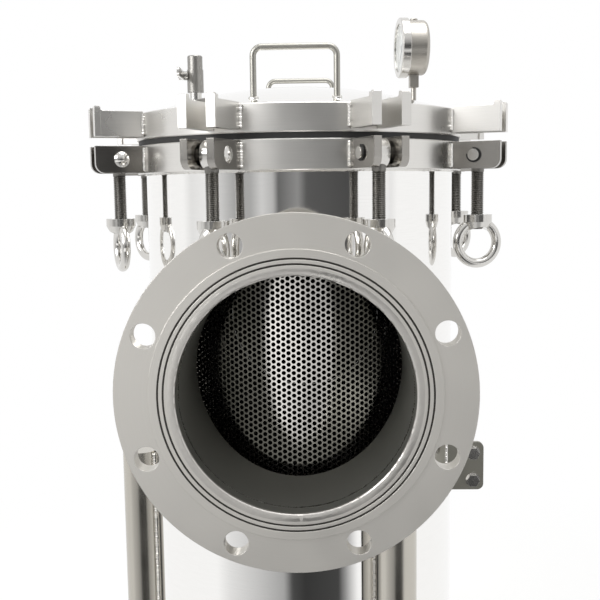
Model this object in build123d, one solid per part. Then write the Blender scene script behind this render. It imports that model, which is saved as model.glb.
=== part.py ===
from build123d import *

import math
import os

# All sizes are in millimetres. +Z is up and -Y is the front, where the outlet nozzle points.
# The origin is the centre of the foot circle, on the floor.
# An azimuth is counted from the front (-Y) towards +X.

# Fits shared by every piece
WELD_GAP = 0.1
RUNNING_GAP = 0.05
LOOSE_GAP = 0.3

# Vessel
VESSEL_OD = 355.6
VESSEL_WALL = 4.0
NOZZLE_AXIS_Z = 560.0
SHELL_BELOW_AXIS = 345.0
HEAD_STRAIGHT = 15.0
KNUCKLE_SHARE = 0.1

# Body ring, gasket and cover ring, stacked at the top of the shell
RING_MARGIN = 9.7
BODY_RING_ABOVE_AXIS = 204.0
BODY_RING_THICKNESS = 31.0
SHELL_SETBACK = 5.0
GASKET_THICKNESS = 6.0
GASKET_INSET = 2.0
COVER_RING_THICKNESS = 29.0
COVER_RISE = 31.0
COVER_WALL = 4.0
RING_EDGE = 1.0

# Nozzles and their flanges
NOZZLE_BORE = 218.0
NOZZLE_WALL = 2.0
NOZZLE_STANDOFF = 112.2
NOZZLE_SETBACK = 3.0
FLANGE_PLATE = 18.0
RAISED_FACE_WIDTH = 22.0
RAISED_FACE_HEIGHT = 2.0
HOLE_CIRCLE_MARGIN = 29.0
FLANGE_MARGIN = 35.0
FLANGE_HOLE = 23.0
FLANGE_HOLES = 8
GROOVES = 3
GROOVE_INSET = 7.5
GROOVE_PITCH = 5.0
GROOVE_WIDTH = 1.8
GROOVE_DEPTH = 1.0

# Swing bolt closure
SWING_BOLTS = 8
PIN_FROM_RING = 24.5
PIN_DIAMETER = 12.0
PIN_HEAD_DIAMETER = 17.0
PIN_HEAD_HEIGHT = 3.5
PIN_TAIL = 3.6
PIN_GROOVE_DEPTH = 0.8
RETAINER_THICKNESS = 1.2
RETAINER_WIDTH = 2.0
RETAINER_OPENING = 70.0
LUG_END_FROM_PIN = 28.0
LUG_PLATE = 8.0
LUG_GAP = 21.0
BODY_LUG_DROP = 1.0
BODY_LUG_CORNER = 10.0
COVER_LUG_BOTTOM_RISE = 3.0
COVER_LUG_HEIGHT = 27.0
HORN_RISE = 5.0
HORN_WIDTH = 6.5
HORN_PROUD = 2.0
HORN_ROOT = 3.0
HORN_TIP = 1.5

# Eye bolts and eye nuts
BOLT_DIAMETER = 14.0
BOLT_EYE_DIAMETER = 28.0
BOLT_EYE_THICKNESS = 17.0
BOLT_EYE_CHAMFER = 2.5
BOLT_REACH = 80.0
BOLT_TIP_CHAMFER = 1.5
NUT_FACE_FROM_PIN = 64.0
NUT_COLLAR_DIAMETER = 32.0
NUT_COLLAR_HEIGHT = 8.0
NUT_NECK_DIAMETER = 20.0
NUT_RING_BORE = 35.0
NUT_RING_SECTION = 10.5
NUT_RING_DROP = 30.7
NUT_BOSS_DEPTH = 19.0
NUT_BOSS_LEDGE = 0.3
NUT_TURNS = (0.0, 36.0, 20.0, 0.0, 0.0, -25.0, 90.0, 0.0)

# Bail handles on the cover
HANDLE_OUTER_WIDTH = 91.0
HANDLE_ROD = 6.5
HANDLE_FROM_SHELL = 27.8
HANDLE_TOP_ABOVE_RING = 61.0
HANDLE_BEND = 9.0

# Pressure gauge
GAUGE_FROM_SHELL = 43.3
GAUGE_TURN = 5.0
GAUGE_CENTRE_ABOVE_RING = 76.0
GAUGE_CASE_DIAMETER = 62.0
GAUGE_CASE_FRONT = 9.4
GAUGE_CASE_BACK = 14.0
GAUGE_CASE_WALL = 1.5
GAUGE_CASE_CORNER = 5.0
GAUGE_BEZEL_OVERHANG = 3.0
GAUGE_BEZEL_FRONT = 18.0
GAUGE_BEZEL_LIP = 1.0
GAUGE_BEZEL_LIP_WIDTH = 2.6
GAUGE_BEZEL_SKIRT = 1.6
GAUGE_DIAL_THICKNESS = 1.0
GAUGE_WINDOW_THICKNESS = 2.0
GAUGE_SHANK_SIDE = 10.0
GAUGE_SHANK_LENGTH = 14.0
GAUGE_PIPE_DIAMETER = 6.0
GAUGE_PIPE_BORE = 3.0
GAUGE_PLUG_DIAMETER = 9.0
GAUGE_PLUG_HEIGHT = 2.0
POINTER_LENGTH = 22.0
POINTER_TAIL = 8.0
POINTER_WIDTH = 2.4
POINTER_THICKNESS = 0.8
POINTER_HUB_DIAMETER = 7.0
POINTER_SPINDLE_DIAMETER = 3.0
POINTER_STANDOFF = 1.2
POINTER_REST_FROM_UP = 135.0

# Vent valve
VENT_FROM_SHELL = 57.8
VENT_BODY_DIAMETER = 19.0
VENT_BORE = 7.0
VENT_NIPPLE_DIAMETER = 14.0
VENT_BODY_BOTTOM_ABOVE_RING = 29.0
VENT_JOINT_ABOVE_RING = 55.0
VENT_TOP_ABOVE_RING = 71.0
VENT_CAP_DIAMETER = 17.5
VENT_BALL_DIAMETER = 13.0
VENT_STEM_DIAMETER = 5.0
VENT_BOSS_DIAMETER = 10.0
VENT_BOSS_LENGTH = 3.0
VENT_LEVER_LENGTH = 40.0
VENT_LEVER_WIDTH = 10.0
VENT_LEVER_THICKNESS = 2.5
VENT_NUT_ACROSS = 8.0
VENT_NUT_HEIGHT = 4.0

# Basket and its inclined seat
SEAT_ANGLE = 38.4
SEAT_THICKNESS = 6.0
SEAT_LEAD = 3.0
SEAT_GASKET_THICKNESS = 3.0
SEAT_GASKET_WIDTH = 8.0
BASKET_CLEARANCE = 19.8
BASKET_WALL = 2.0
BASKET_RIM_OVERHANG = 14.0
BASKET_RIM_THICKNESS = 5.0
BASKET_FLOOR_ABOVE_SHELL_END = 35.0
BASKET_FLOOR_THICKNESS = 3.0
BASKET_HANDLE_ROD = 8.0
BASKET_HANDLE_RISE = 105.0
BASKET_HANDLE_BEND = 40.0
PERFORATION_COLUMNS = 14
PERFORATION_PITCH = 62.0
PERFORATION_DIAMETER = 34.0
PERFORATION_MARGIN = 34.0

# Drain
DRAIN_COUPLING_OD = 48.0
DRAIN_COUPLING_LENGTH = 42.0
DRAIN_COUPLING_INSIDE = 6.0
DRAIN_BORE = 36.0
DRAIN_PLUG_DEPTH = 18.0
DRAIN_PLUG_ACROSS = 36.0
DRAIN_PLUG_HEAD = 12.0
DRAIN_PLUG_COLLAR = 3.0

# Legs
LEG_AZIMUTHS = (-90.0, 30.0, 150.0)
LEG_OD = 42.4
LEG_WALL = 2.6
LEG_TOP_BELOW_AXIS = 128.0
LEG_CAP = 3.0
FOOT_SIDE = 100.0
FOOT_THICKNESS = 8.0
FOOT_CORNER = 10.0
FOOT_HOLE = 14.0
FOOT_HOLE_OUT = 34.0
FOOT_SHIFT = 14.0

# Side bracket
BRACKET_Y = -60.0
BRACKET_BELOW_AXIS = 133.5
BRACKET_HEIGHT = 56.0
BRACKET_REACH = 31.2
BRACKET_THICKNESS = 5.0
BRACKET_CORNER = 7.0
BRACKET_BOLT_INSET = 12.5
BRACKET_BOLT_PITCH = 32.0
BRACKET_BOLT_DIAMETER = 8.0
BRACKET_BOLT_ACROSS = 13.0
BRACKET_BOLT_HEAD = 5.3
BRACKET_WASHER_DIAMETER = 16.0
BRACKET_WASHER = 1.6
BRACKET_NUT = 6.5
BRACKET_BOLT_TAIL = 3.0

# Places worked out from the sizes above
VESSEL_RADIUS = VESSEL_OD / 2
SHELL_INNER_RADIUS = VESSEL_RADIUS - VESSEL_WALL
SHELL_BOTTOM_Z = NOZZLE_AXIS_Z - SHELL_BELOW_AXIS
BODY_RING_BOTTOM_Z = NOZZLE_AXIS_Z + BODY_RING_ABOVE_AXIS
BODY_RING_TOP_Z = BODY_RING_BOTTOM_Z + BODY_RING_THICKNESS
COVER_RING_BOTTOM_Z = BODY_RING_TOP_Z + GASKET_THICKNESS
COVER_RING_TOP_Z = COVER_RING_BOTTOM_Z + COVER_RING_THICKNESS
RING_RADIUS = VESSEL_RADIUS + RING_MARGIN
RING_BORE_RADIUS = VESSEL_RADIUS + WELD_GAP
COVER_CROWN = (VESSEL_RADIUS**2 + COVER_RISE**2) / (2 * COVER_RISE)
COVER_CROWN_CENTRE_Z = COVER_RING_TOP_Z + COVER_RISE - COVER_CROWN
NOZZLE_RADIUS = NOZZLE_BORE / 2 + NOZZLE_WALL
NOZZLE_REACH = VESSEL_RADIUS + NOZZLE_STANDOFF
RAISED_FACE_RADIUS = NOZZLE_RADIUS + RAISED_FACE_WIDTH
FLANGE_HOLE_CIRCLE = 2 * RAISED_FACE_RADIUS + HOLE_CIRCLE_MARGIN
FLANGE_OD = FLANGE_HOLE_CIRCLE + FLANGE_MARGIN
GROOVE_OUTER_RADIUS = RAISED_FACE_RADIUS - GROOVE_INSET
FLANGE_THICKNESS = FLANGE_PLATE + RAISED_FACE_HEIGHT
PIN_Z = BODY_RING_BOTTOM_Z + BODY_RING_THICKNESS / 2
PIN_RADIUS_FROM_AXIS = RING_RADIUS + PIN_FROM_RING
LUG_OUTER_RADIUS = PIN_RADIUS_FROM_AXIS + LUG_END_FROM_PIN
LUG_SPAN = LUG_GAP + 2 * LUG_PLATE
COVER_LUG_BOTTOM_Z = COVER_RING_BOTTOM_Z + COVER_LUG_BOTTOM_RISE
COVER_LUG_TOP_Z = COVER_LUG_BOTTOM_Z + COVER_LUG_HEIGHT
LEG_CENTRE_RADIUS = VESSEL_RADIUS + LEG_OD / 2 + WELD_GAP
LEG_TOP_Z = NOZZLE_AXIS_Z - LEG_TOP_BELOW_AXIS
HANDLE_OFFSET = VESSEL_RADIUS - HANDLE_FROM_SHELL
GAUGE_BEZEL_DIAMETER = GAUGE_CASE_DIAMETER + 2 * GAUGE_BEZEL_OVERHANG
GAUGE_X = VESSEL_RADIUS - GAUGE_FROM_SHELL
GAUGE_Z = COVER_RING_TOP_Z + GAUGE_CENTRE_ABOVE_RING
VENT_X = VENT_FROM_SHELL - VESSEL_RADIUS
VENT_BALL_Z = COVER_RING_TOP_Z + VENT_JOINT_ABOVE_RING - VENT_BALL_DIAMETER / 2
BASKET_RADIUS = SHELL_INNER_RADIUS - BASKET_CLEARANCE
BASKET_RIM_RADIUS = BASKET_RADIUS + BASKET_RIM_OVERHANG
BASKET_FLOOR_Z = SHELL_BOTTOM_Z + BASKET_FLOOR_ABOVE_SHELL_END
SEAT_BORE_RADIUS = BASKET_RADIUS + SEAT_LEAD
BRACKET_OUTER_X = VESSEL_RADIUS + BRACKET_REACH
BRACKET_BOLT_X = BRACKET_OUTER_X - BRACKET_BOLT_INSET
HEAD_CROWN_CENTRE = math.sqrt(
    (VESSEL_OD * (1 - KNUCKLE_SHARE)) ** 2 - (VESSEL_RADIUS - VESSEL_OD * KNUCKLE_SHARE) ** 2
)
HEAD_BOTTOM_Z = SHELL_BOTTOM_Z - HEAD_STRAIGHT + HEAD_CROWN_CENTRE - VESSEL_OD


def at_azimuth(shape, azimuth):
    """Turns a shape built on the +X side to an azimuth."""
    return Rot(0, 0, azimuth - 90) * shape


def swing_azimuth(index):
    """The azimuth of one swing bolt. The bolts straddle the centre lines."""
    return (index + 0.5) * 360 / SWING_BOLTS


def upright(radius, bottom, top):
    """A solid cylinder on the Z axis between two heights."""
    return Pos(0, 0, bottom) * extrude(Circle(radius), top - bottom)


def tube(outer, inner, bottom, top):
    """A hollow cylinder on the Z axis between two heights."""
    return Pos(0, 0, bottom) * extrude(Circle(outer) - Circle(inner), top - bottom)


def crosswise(radius, start, end):
    """A solid cylinder on the Y axis between two places."""
    return Rot(-90, 0, 0) * upright(radius, start, end)


def lengthwise(radius, start, end):
    """A solid cylinder on the X axis between two places."""
    return Rot(0, 90, 0) * upright(radius, start, end)


def seat_plane(offset):
    """The inclined plane of the basket seat, high at the front, moved up its normal."""
    slope = math.radians(SEAT_ANGLE)
    normal = (0, math.sin(slope), math.cos(slope))
    origin = (0, offset * normal[1], NOZZLE_AXIS_Z + offset * normal[2])
    return Plane(origin=origin, x_dir=(1, 0, 0), z_dir=normal)


def inclined_slab(start, end):
    """A wide slab between two offsets of the seat plane."""
    return extrude(seat_plane(start) * Rectangle(2 * VESSEL_OD, 3 * VESSEL_OD), end - start)


def inclined_ring(outer, inner, start, end):
    """An upright tube cut between two offsets of the seat plane."""
    low = NOZZLE_AXIS_Z - VESSEL_OD
    high = NOZZLE_AXIS_Z + VESSEL_OD
    return tube(outer, inner, low, high) & inclined_slab(start, end)


def rod_bail(foot_gap, rod, top_z, bend, foot_z):
    """A bail of round rod in the XZ plane, with its two legs going down to foot_z."""
    half = foot_gap / 2
    path = Polyline((-half, foot_z), (-half, top_z), (half, top_z), (half, foot_z))
    path = fillet(path.vertices().group_by(Axis.Y)[-1], bend)
    path = Plane.XZ * path
    return sweep(Plane((-half, 0, foot_z)) * Circle(rod / 2), path)


def hexagon(across):
    """A regular hexagon by its size across flats."""
    return RegularPolygon(across / 2, 6, major_radius=False)


def vessel_shell():
    shell = tube(VESSEL_RADIUS, SHELL_INNER_RADIUS, SHELL_BOTTOM_Z, BODY_RING_TOP_Z - SHELL_SETBACK)
    opening = crosswise(NOZZLE_RADIUS + WELD_GAP, -VESSEL_OD, VESSEL_OD)
    return shell - Pos(0, 0, NOZZLE_AXIS_Z) * opening


def head_line(radius, crown, knuckle, crown_centre):
    """The arcs of a dished head's section, from the straight skirt to the axis."""
    centre = radius - knuckle
    lean = math.atan2(centre, crown_centre)
    join = (centre + knuckle * math.sin(lean), -knuckle * math.cos(lean))
    middle_angle = (math.pi / 2 - lean) / 2
    middle = (centre + knuckle * math.cos(middle_angle), -knuckle * math.sin(middle_angle))
    crown_middle = (crown * math.sin(lean / 2), crown_centre - crown * math.cos(lean / 2))
    bend = ThreePointArc((radius, 0), middle, join)
    dish = ThreePointArc(join, crown_middle, (0, crown_centre - crown))
    return bend, dish


def bottom_head():
    knuckle = VESSEL_OD * KNUCKLE_SHARE
    outer = head_line(VESSEL_RADIUS, VESSEL_OD, knuckle, HEAD_CROWN_CENTRE)
    inner_crown = VESSEL_OD - VESSEL_WALL
    inner = head_line(SHELL_INNER_RADIUS, inner_crown, knuckle - VESSEL_WALL, HEAD_CROWN_CENTRE)
    section = make_face(
        [
            Line((VESSEL_RADIUS, 0), (VESSEL_RADIUS, HEAD_STRAIGHT)),
            Line((VESSEL_RADIUS, HEAD_STRAIGHT), (SHELL_INNER_RADIUS, HEAD_STRAIGHT)),
            Line((SHELL_INNER_RADIUS, HEAD_STRAIGHT), (SHELL_INNER_RADIUS, 0)),
            *outer,
            *inner,
            Line((0, HEAD_CROWN_CENTRE - VESSEL_OD), (0, HEAD_CROWN_CENTRE - inner_crown)),
        ]
    )
    head = Pos(0, 0, SHELL_BOTTOM_Z - HEAD_STRAIGHT) * revolve(Plane.XZ * section, Axis.Z)
    return head - upright(DRAIN_COUPLING_OD / 2 + WELD_GAP, 0, SHELL_BOTTOM_Z - HEAD_STRAIGHT)


def drain_coupling():
    top = HEAD_BOTTOM_Z + VESSEL_WALL + DRAIN_COUPLING_INSIDE
    return tube(DRAIN_COUPLING_OD / 2, DRAIN_BORE / 2, top - DRAIN_COUPLING_LENGTH, top)


def drain_plug():
    mouth = HEAD_BOTTOM_Z + VESSEL_WALL + DRAIN_COUPLING_INSIDE - DRAIN_COUPLING_LENGTH
    shank = upright(DRAIN_BORE / 2 - RUNNING_GAP, mouth - DRAIN_PLUG_COLLAR, mouth + DRAIN_PLUG_DEPTH)
    collar = upright(DRAIN_COUPLING_OD / 2, mouth - DRAIN_PLUG_COLLAR, mouth)
    head = extrude(hexagon(DRAIN_PLUG_ACROSS), DRAIN_PLUG_HEAD)
    return shank + collar + Pos(0, 0, mouth - DRAIN_PLUG_COLLAR - DRAIN_PLUG_HEAD) * head


def edged_ring(bore_radius, bottom, top):
    """A closure ring with its two outer edges broken."""
    ring = tube(RING_RADIUS, bore_radius, bottom, top)
    middle_radius = (RING_RADIUS + bore_radius) / 2
    circles = ring.edges().filter_by(GeomType.CIRCLE)
    return chamfer([edge for edge in circles if edge.radius > middle_radius], RING_EDGE)


def body_ring():
    return edged_ring(RING_BORE_RADIUS, BODY_RING_BOTTOM_Z, BODY_RING_TOP_Z)


def cover_ring():
    return edged_ring(RING_BORE_RADIUS, COVER_RING_BOTTOM_Z, COVER_RING_TOP_Z)


def cover_gasket():
    outer = RING_RADIUS - GASKET_INSET
    return tube(outer, RING_BORE_RADIUS, BODY_RING_TOP_Z, COVER_RING_BOTTOM_Z)


def cover_head():
    rim = VESSEL_RADIUS
    lean = math.asin(rim / COVER_CROWN)
    inner_crown = COVER_CROWN - COVER_WALL
    inner_lean = math.asin(rim / inner_crown)

    def on_arc(crown, angle):
        return (crown * math.sin(angle), COVER_CROWN_CENTRE_Z + crown * math.cos(angle))

    def arc(crown, angle):
        return ThreePointArc(on_arc(crown, 0), on_arc(crown, angle / 2), on_arc(crown, angle))

    section = make_face(
        [
            arc(COVER_CROWN, lean),
            Line(on_arc(COVER_CROWN, lean), on_arc(inner_crown, inner_lean)),
            arc(inner_crown, inner_lean),
            Line(on_arc(inner_crown, 0), on_arc(COVER_CROWN, 0)),
        ]
    )
    head = revolve(Plane.XZ * section, Axis.Z)
    gauge_port = Pos(GAUGE_X, 0, 0) * upright(GAUGE_PIPE_BORE / 2, COVER_RING_BOTTOM_Z, GAUGE_Z)
    vent_port = Pos(VENT_X, 0, 0) * upright(VENT_BORE / 2, COVER_RING_BOTTOM_Z, GAUGE_Z)
    return head - [gauge_port, vent_port]


def crown_cutter():
    """A ball that trims what stands on the domed cover."""
    return Pos(0, 0, COVER_CROWN_CENTRE_Z) * Sphere(COVER_CROWN + RUNNING_GAP)


def nozzle(front):
    """A nozzle pipe at the front or the rear, trimmed to the inside of the shell."""
    pipe = crosswise(NOZZLE_RADIUS, 0, NOZZLE_REACH - NOZZLE_SETBACK)
    pipe = Pos(0, 0, NOZZLE_AXIS_Z) * (pipe - crosswise(NOZZLE_BORE / 2, -1, NOZZLE_REACH))
    pipe = pipe - upright(SHELL_INNER_RADIUS, 0, 2 * NOZZLE_AXIS_Z)
    return Rot(0, 0, 180) * pipe if front else pipe


def nozzle_flange(front):
    """A slip-on flange with a raised, grooved face and its holes off the centre lines."""
    back = NOZZLE_REACH - FLANGE_THICKNESS
    face = NOZZLE_REACH
    flange = upright(FLANGE_OD / 2, back, face - RAISED_FACE_HEIGHT)
    flange += upright(RAISED_FACE_RADIUS, back, face)
    holes = PolarLocations(FLANGE_HOLE_CIRCLE / 2, FLANGE_HOLES, start_angle=180 / FLANGE_HOLES)
    flange -= [place * upright(FLANGE_HOLE / 2, back, face) for place in holes]
    flange -= upright(NOZZLE_RADIUS + WELD_GAP, back, face)
    for index in range(GROOVES):
        radius = GROOVE_OUTER_RADIUS - index * GROOVE_PITCH
        flange -= tube(radius, radius - GROOVE_WIDTH, face - GROOVE_DEPTH, face)
    flange = Pos(0, 0, NOZZLE_AXIS_Z) * (Rot(-90, 0, 0) * flange)
    return Rot(0, 0, 180) * flange if front else flange


def body_lug_plate():
    """One plate of a body lug, on the +X side and centred on the XZ plane."""
    bottom = BODY_RING_BOTTOM_Z + BODY_LUG_DROP
    top = BODY_RING_TOP_Z - BODY_LUG_DROP
    inner = RING_RADIUS - LUG_PLATE
    profile = Pos((inner + LUG_OUTER_RADIUS) / 2, (bottom + top) / 2) * Rectangle(
        LUG_OUTER_RADIUS - inner, top - bottom
    )
    outer_corners = profile.vertices().group_by(Axis.X)[-1].sort_by(Axis.Y)
    profile = fillet(outer_corners[0], BODY_LUG_CORNER)
    plate = extrude(Plane.XZ * profile, LUG_PLATE / 2, both=True)
    hole = crosswise(PIN_DIAMETER / 2 + WELD_GAP, -LUG_PLATE, LUG_PLATE)
    plate -= Pos(PIN_RADIUS_FROM_AXIS, 0, PIN_Z) * hole
    return plate - upright(RING_RADIUS + WELD_GAP, bottom - LUG_PLATE, top + LUG_PLATE)


def cover_lug_plate(side):
    """One plate of a cover lug, whose raised horn keeps the tightened nut from slipping outwards."""
    inner = RING_RADIUS - LUG_PLATE
    horn = LUG_OUTER_RADIUS - HORN_WIDTH
    profile = Pos((inner + LUG_OUTER_RADIUS) / 2, (COVER_LUG_BOTTOM_Z + COVER_LUG_TOP_Z) / 2) * Rectangle(
        LUG_OUTER_RADIUS - inner, COVER_LUG_HEIGHT
    )
    tip = Rectangle(HORN_WIDTH, HORN_RISE)
    profile += Pos((horn + LUG_OUTER_RADIUS) / 2, COVER_LUG_TOP_Z + HORN_RISE / 2) * tip
    root = profile.vertices().sort_by_distance((horn, COVER_LUG_TOP_Z, 0))[0]
    profile = fillet(root, HORN_ROOT)
    profile = fillet(profile.vertices().group_by(Axis.Y)[-1], HORN_TIP)
    plate = extrude(Plane.XZ * profile, LUG_PLATE / 2, both=True)
    stop_height = COVER_LUG_HEIGHT + HORN_RISE - HORN_TIP
    stop_y = side * (LUG_PLATE + HORN_PROUD) / 2
    stop_place = Pos((horn + LUG_OUTER_RADIUS) / 2, stop_y, COVER_LUG_BOTTOM_Z + stop_height / 2)
    plate += stop_place * Box(HORN_WIDTH, HORN_PROUD, stop_height)
    return plate - upright(RING_RADIUS + WELD_GAP, BODY_RING_BOTTOM_Z, COVER_LUG_TOP_Z + LUG_PLATE)


def all_lugs(make_plate):
    """Both plates of every lug round a ring, as separate solids."""
    plates = []
    for index in range(SWING_BOLTS):
        for side in (-1, 1):
            offset = Pos(0, side * (LUG_GAP + LUG_PLATE) / 2, 0)
            plates.append(at_azimuth(offset * make_plate(side), swing_azimuth(index)))
    return Compound(children=plates)


def clevis_pin():
    """A headed pin on the Y axis, grooved at its tail for a retaining ring."""
    start = -LUG_SPAN / 2 - PIN_TAIL
    end = LUG_SPAN / 2
    pin = crosswise(PIN_DIAMETER / 2, start, end)
    groove_start = -LUG_SPAN / 2 - RETAINER_THICKNESS - RUNNING_GAP
    groove = crosswise(PIN_DIAMETER, groove_start, -LUG_SPAN / 2)
    groove -= crosswise(PIN_DIAMETER / 2 - PIN_GROOVE_DEPTH, groove_start, -LUG_SPAN / 2)
    dome_radius = ((PIN_HEAD_DIAMETER / 2) ** 2 + PIN_HEAD_HEIGHT**2) / (2 * PIN_HEAD_HEIGHT)
    dome = Pos(0, end + PIN_HEAD_HEIGHT - dome_radius, 0) * Sphere(dome_radius)
    dome &= crosswise(PIN_HEAD_DIAMETER, end, end + 2 * PIN_HEAD_HEIGHT)
    return pin - groove + dome


def retaining_ring():
    """An open ring that snaps into the pin's groove."""
    inner = PIN_DIAMETER / 2 - PIN_GROOVE_DEPTH + RUNNING_GAP
    outer = inner + PIN_GROOVE_DEPTH + RETAINER_WIDTH
    ring = Circle(outer) - Circle(inner)
    half = math.radians(RETAINER_OPENING / 2)
    reach = 2 * outer
    mouth = make_face(
        Polyline(
            (0, 0),
            (reach * math.cos(half), reach * math.sin(half)),
            (reach * math.cos(half), -reach * math.sin(half)),
            (0, 0),
        )
    )
    ring = extrude(ring - Rot(0, 0, 225) * mouth, RETAINER_THICKNESS)
    return Pos(0, -LUG_SPAN / 2 - RETAINER_THICKNESS - RUNNING_GAP / 2, 0) * (Rot(-90, 0, 0) * ring)


def at_every_pin(piece):
    """Copies of a piece built on the Y axis, one at each lug's pin."""
    copies = []
    for index in range(SWING_BOLTS):
        copies.append(at_azimuth(Pos(PIN_RADIUS_FROM_AXIS, 0, PIN_Z) * piece, swing_azimuth(index)))
    return Compound(children=copies)


def eye_bolt(index):
    """A swing bolt hanging straight down from its pin."""
    eye = crosswise(BOLT_EYE_DIAMETER / 2, -BOLT_EYE_THICKNESS / 2, BOLT_EYE_THICKNESS / 2)
    eye = chamfer(eye.edges().filter_by(GeomType.CIRCLE), BOLT_EYE_CHAMFER)
    rod = upright(BOLT_DIAMETER / 2, -BOLT_REACH, 0)
    rod = chamfer(rod.edges().group_by(Axis.Z)[0], BOLT_TIP_CHAMFER)
    hole = crosswise(PIN_DIAMETER / 2 + 2 * RUNNING_GAP, -BOLT_EYE_THICKNESS, BOLT_EYE_THICKNESS)
    bolt = eye + rod - hole
    return at_azimuth(Pos(PIN_RADIUS_FROM_AXIS, 0, PIN_Z) * bolt, swing_azimuth(index))


def eye_nut(index):
    """A forged eye nut, screwed on from below with its collar towards the pin."""
    section = NUT_RING_SECTION / 2
    ring = Rot(90, 0, 0) * Torus(NUT_RING_BORE / 2 + section, section)
    ring = Pos(0, 0, -NUT_FACE_FROM_PIN - NUT_RING_DROP) * ring
    collar_bottom = -NUT_FACE_FROM_PIN - NUT_COLLAR_HEIGHT
    collar = upright(NUT_COLLAR_DIAMETER / 2, collar_bottom, -NUT_FACE_FROM_PIN)
    neck_height = NUT_BOSS_DEPTH - NUT_COLLAR_HEIGHT
    neck = Pos(0, 0, collar_bottom - neck_height / 2) * Cone(
        NUT_NECK_DIAMETER / 2, NUT_COLLAR_DIAMETER / 2, neck_height
    )
    opening = Pos(0, 0, -NUT_FACE_FROM_PIN - NUT_RING_DROP) * crosswise(
        NUT_RING_BORE / 2 - NUT_BOSS_LEDGE, -NUT_COLLAR_DIAMETER, NUT_COLLAR_DIAMETER
    )
    thread = upright(BOLT_DIAMETER / 2 + RUNNING_GAP, -NUT_FACE_FROM_PIN - NUT_RING_DROP, 0)
    nut = Rot(0, 0, NUT_TURNS[index]) * (collar + neck + ring - opening - thread)
    return at_azimuth(Pos(PIN_RADIUS_FROM_AXIS, 0, PIN_Z) * nut, swing_azimuth(index))


def cover_handle(side):
    """A bail of round rod welded to the domed cover, at the front (-1) or the rear (1)."""
    top = COVER_RING_TOP_Z + HANDLE_TOP_ABOVE_RING - HANDLE_ROD / 2
    bail = rod_bail(HANDLE_OUTER_WIDTH - HANDLE_ROD, HANDLE_ROD, top, HANDLE_BEND, COVER_RING_BOTTOM_Z)
    return Pos(0, side * HANDLE_OFFSET, 0) * bail - crown_cutter()


def place_gauge(shape):
    """Stands a gauge piece, built round +Z with its dial up, on the stem with the dial facing -X."""
    return Pos(GAUGE_X, 0, GAUGE_Z) * (Rot(0, 0, GAUGE_TURN) * (Rot(0, -90, 0) * shape))


def gauge_case():
    radius = GAUGE_CASE_DIAMETER / 2
    case = upright(radius, -GAUGE_CASE_BACK, GAUGE_CASE_FRONT)
    case = fillet(case.edges().group_by(Axis.Z)[0], GAUGE_CASE_CORNER)
    case -= upright(radius - GAUGE_CASE_WALL, GAUGE_CASE_WALL - GAUGE_CASE_BACK, GAUGE_CASE_FRONT)
    return place_gauge(case)


def gauge_bezel():
    step = GAUGE_CASE_DIAMETER / 2 - GAUGE_CASE_WALL + 2 * WELD_GAP
    front = GAUGE_BEZEL_FRONT
    outer = GAUGE_BEZEL_DIAMETER / 2
    skirt_bottom = GAUGE_CASE_FRONT - GAUGE_BEZEL_SKIRT
    bezel = upright(outer, skirt_bottom, front)
    bezel = chamfer(bezel.edges().filter_by(GeomType.CIRCLE), GAUGE_BEZEL_LIP)
    bezel -= upright(GAUGE_CASE_DIAMETER / 2 + WELD_GAP, skirt_bottom, GAUGE_CASE_FRONT)
    bezel -= upright(step, GAUGE_CASE_FRONT, front - GAUGE_BEZEL_LIP)
    bezel -= upright(step - GAUGE_BEZEL_LIP_WIDTH, GAUGE_CASE_FRONT, front)
    return place_gauge(bezel)


def gauge_dial():
    radius = GAUGE_CASE_DIAMETER / 2 - GAUGE_CASE_WALL + WELD_GAP
    dial = upright(radius, GAUGE_CASE_FRONT, GAUGE_CASE_FRONT + GAUGE_DIAL_THICKNESS)
    dial -= upright(POINTER_SPINDLE_DIAMETER / 2 + RUNNING_GAP, 0, GAUGE_BEZEL_FRONT)
    return place_gauge(dial)


def gauge_window():
    radius = GAUGE_CASE_DIAMETER / 2 - GAUGE_CASE_WALL + WELD_GAP
    top = GAUGE_BEZEL_FRONT - GAUGE_BEZEL_LIP
    return place_gauge(upright(radius, top - GAUGE_WINDOW_THICKNESS, top))


def gauge_pointer():
    """A tapered pointer on its spindle, resting at the start of the scale."""
    base = GAUGE_CASE_FRONT + GAUGE_DIAL_THICKNESS + POINTER_STANDOFF
    blade = make_face(
        Polyline(
            (-POINTER_TAIL, POINTER_WIDTH / 2),
            (POINTER_LENGTH, POINTER_THICKNESS / 2),
            (POINTER_LENGTH, -POINTER_THICKNESS / 2),
            (-POINTER_TAIL, -POINTER_WIDTH / 2),
            (-POINTER_TAIL, POINTER_WIDTH / 2),
        )
    )
    pointer = Pos(0, 0, base) * extrude(blade, POINTER_THICKNESS)
    pointer += upright(POINTER_HUB_DIAMETER / 2, base, base + 2 * POINTER_THICKNESS)
    pointer += upright(POINTER_SPINDLE_DIAMETER / 2, GAUGE_CASE_FRONT - 2, base)
    return place_gauge(Rot(0, 0, POINTER_REST_FROM_UP) * pointer)


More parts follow.
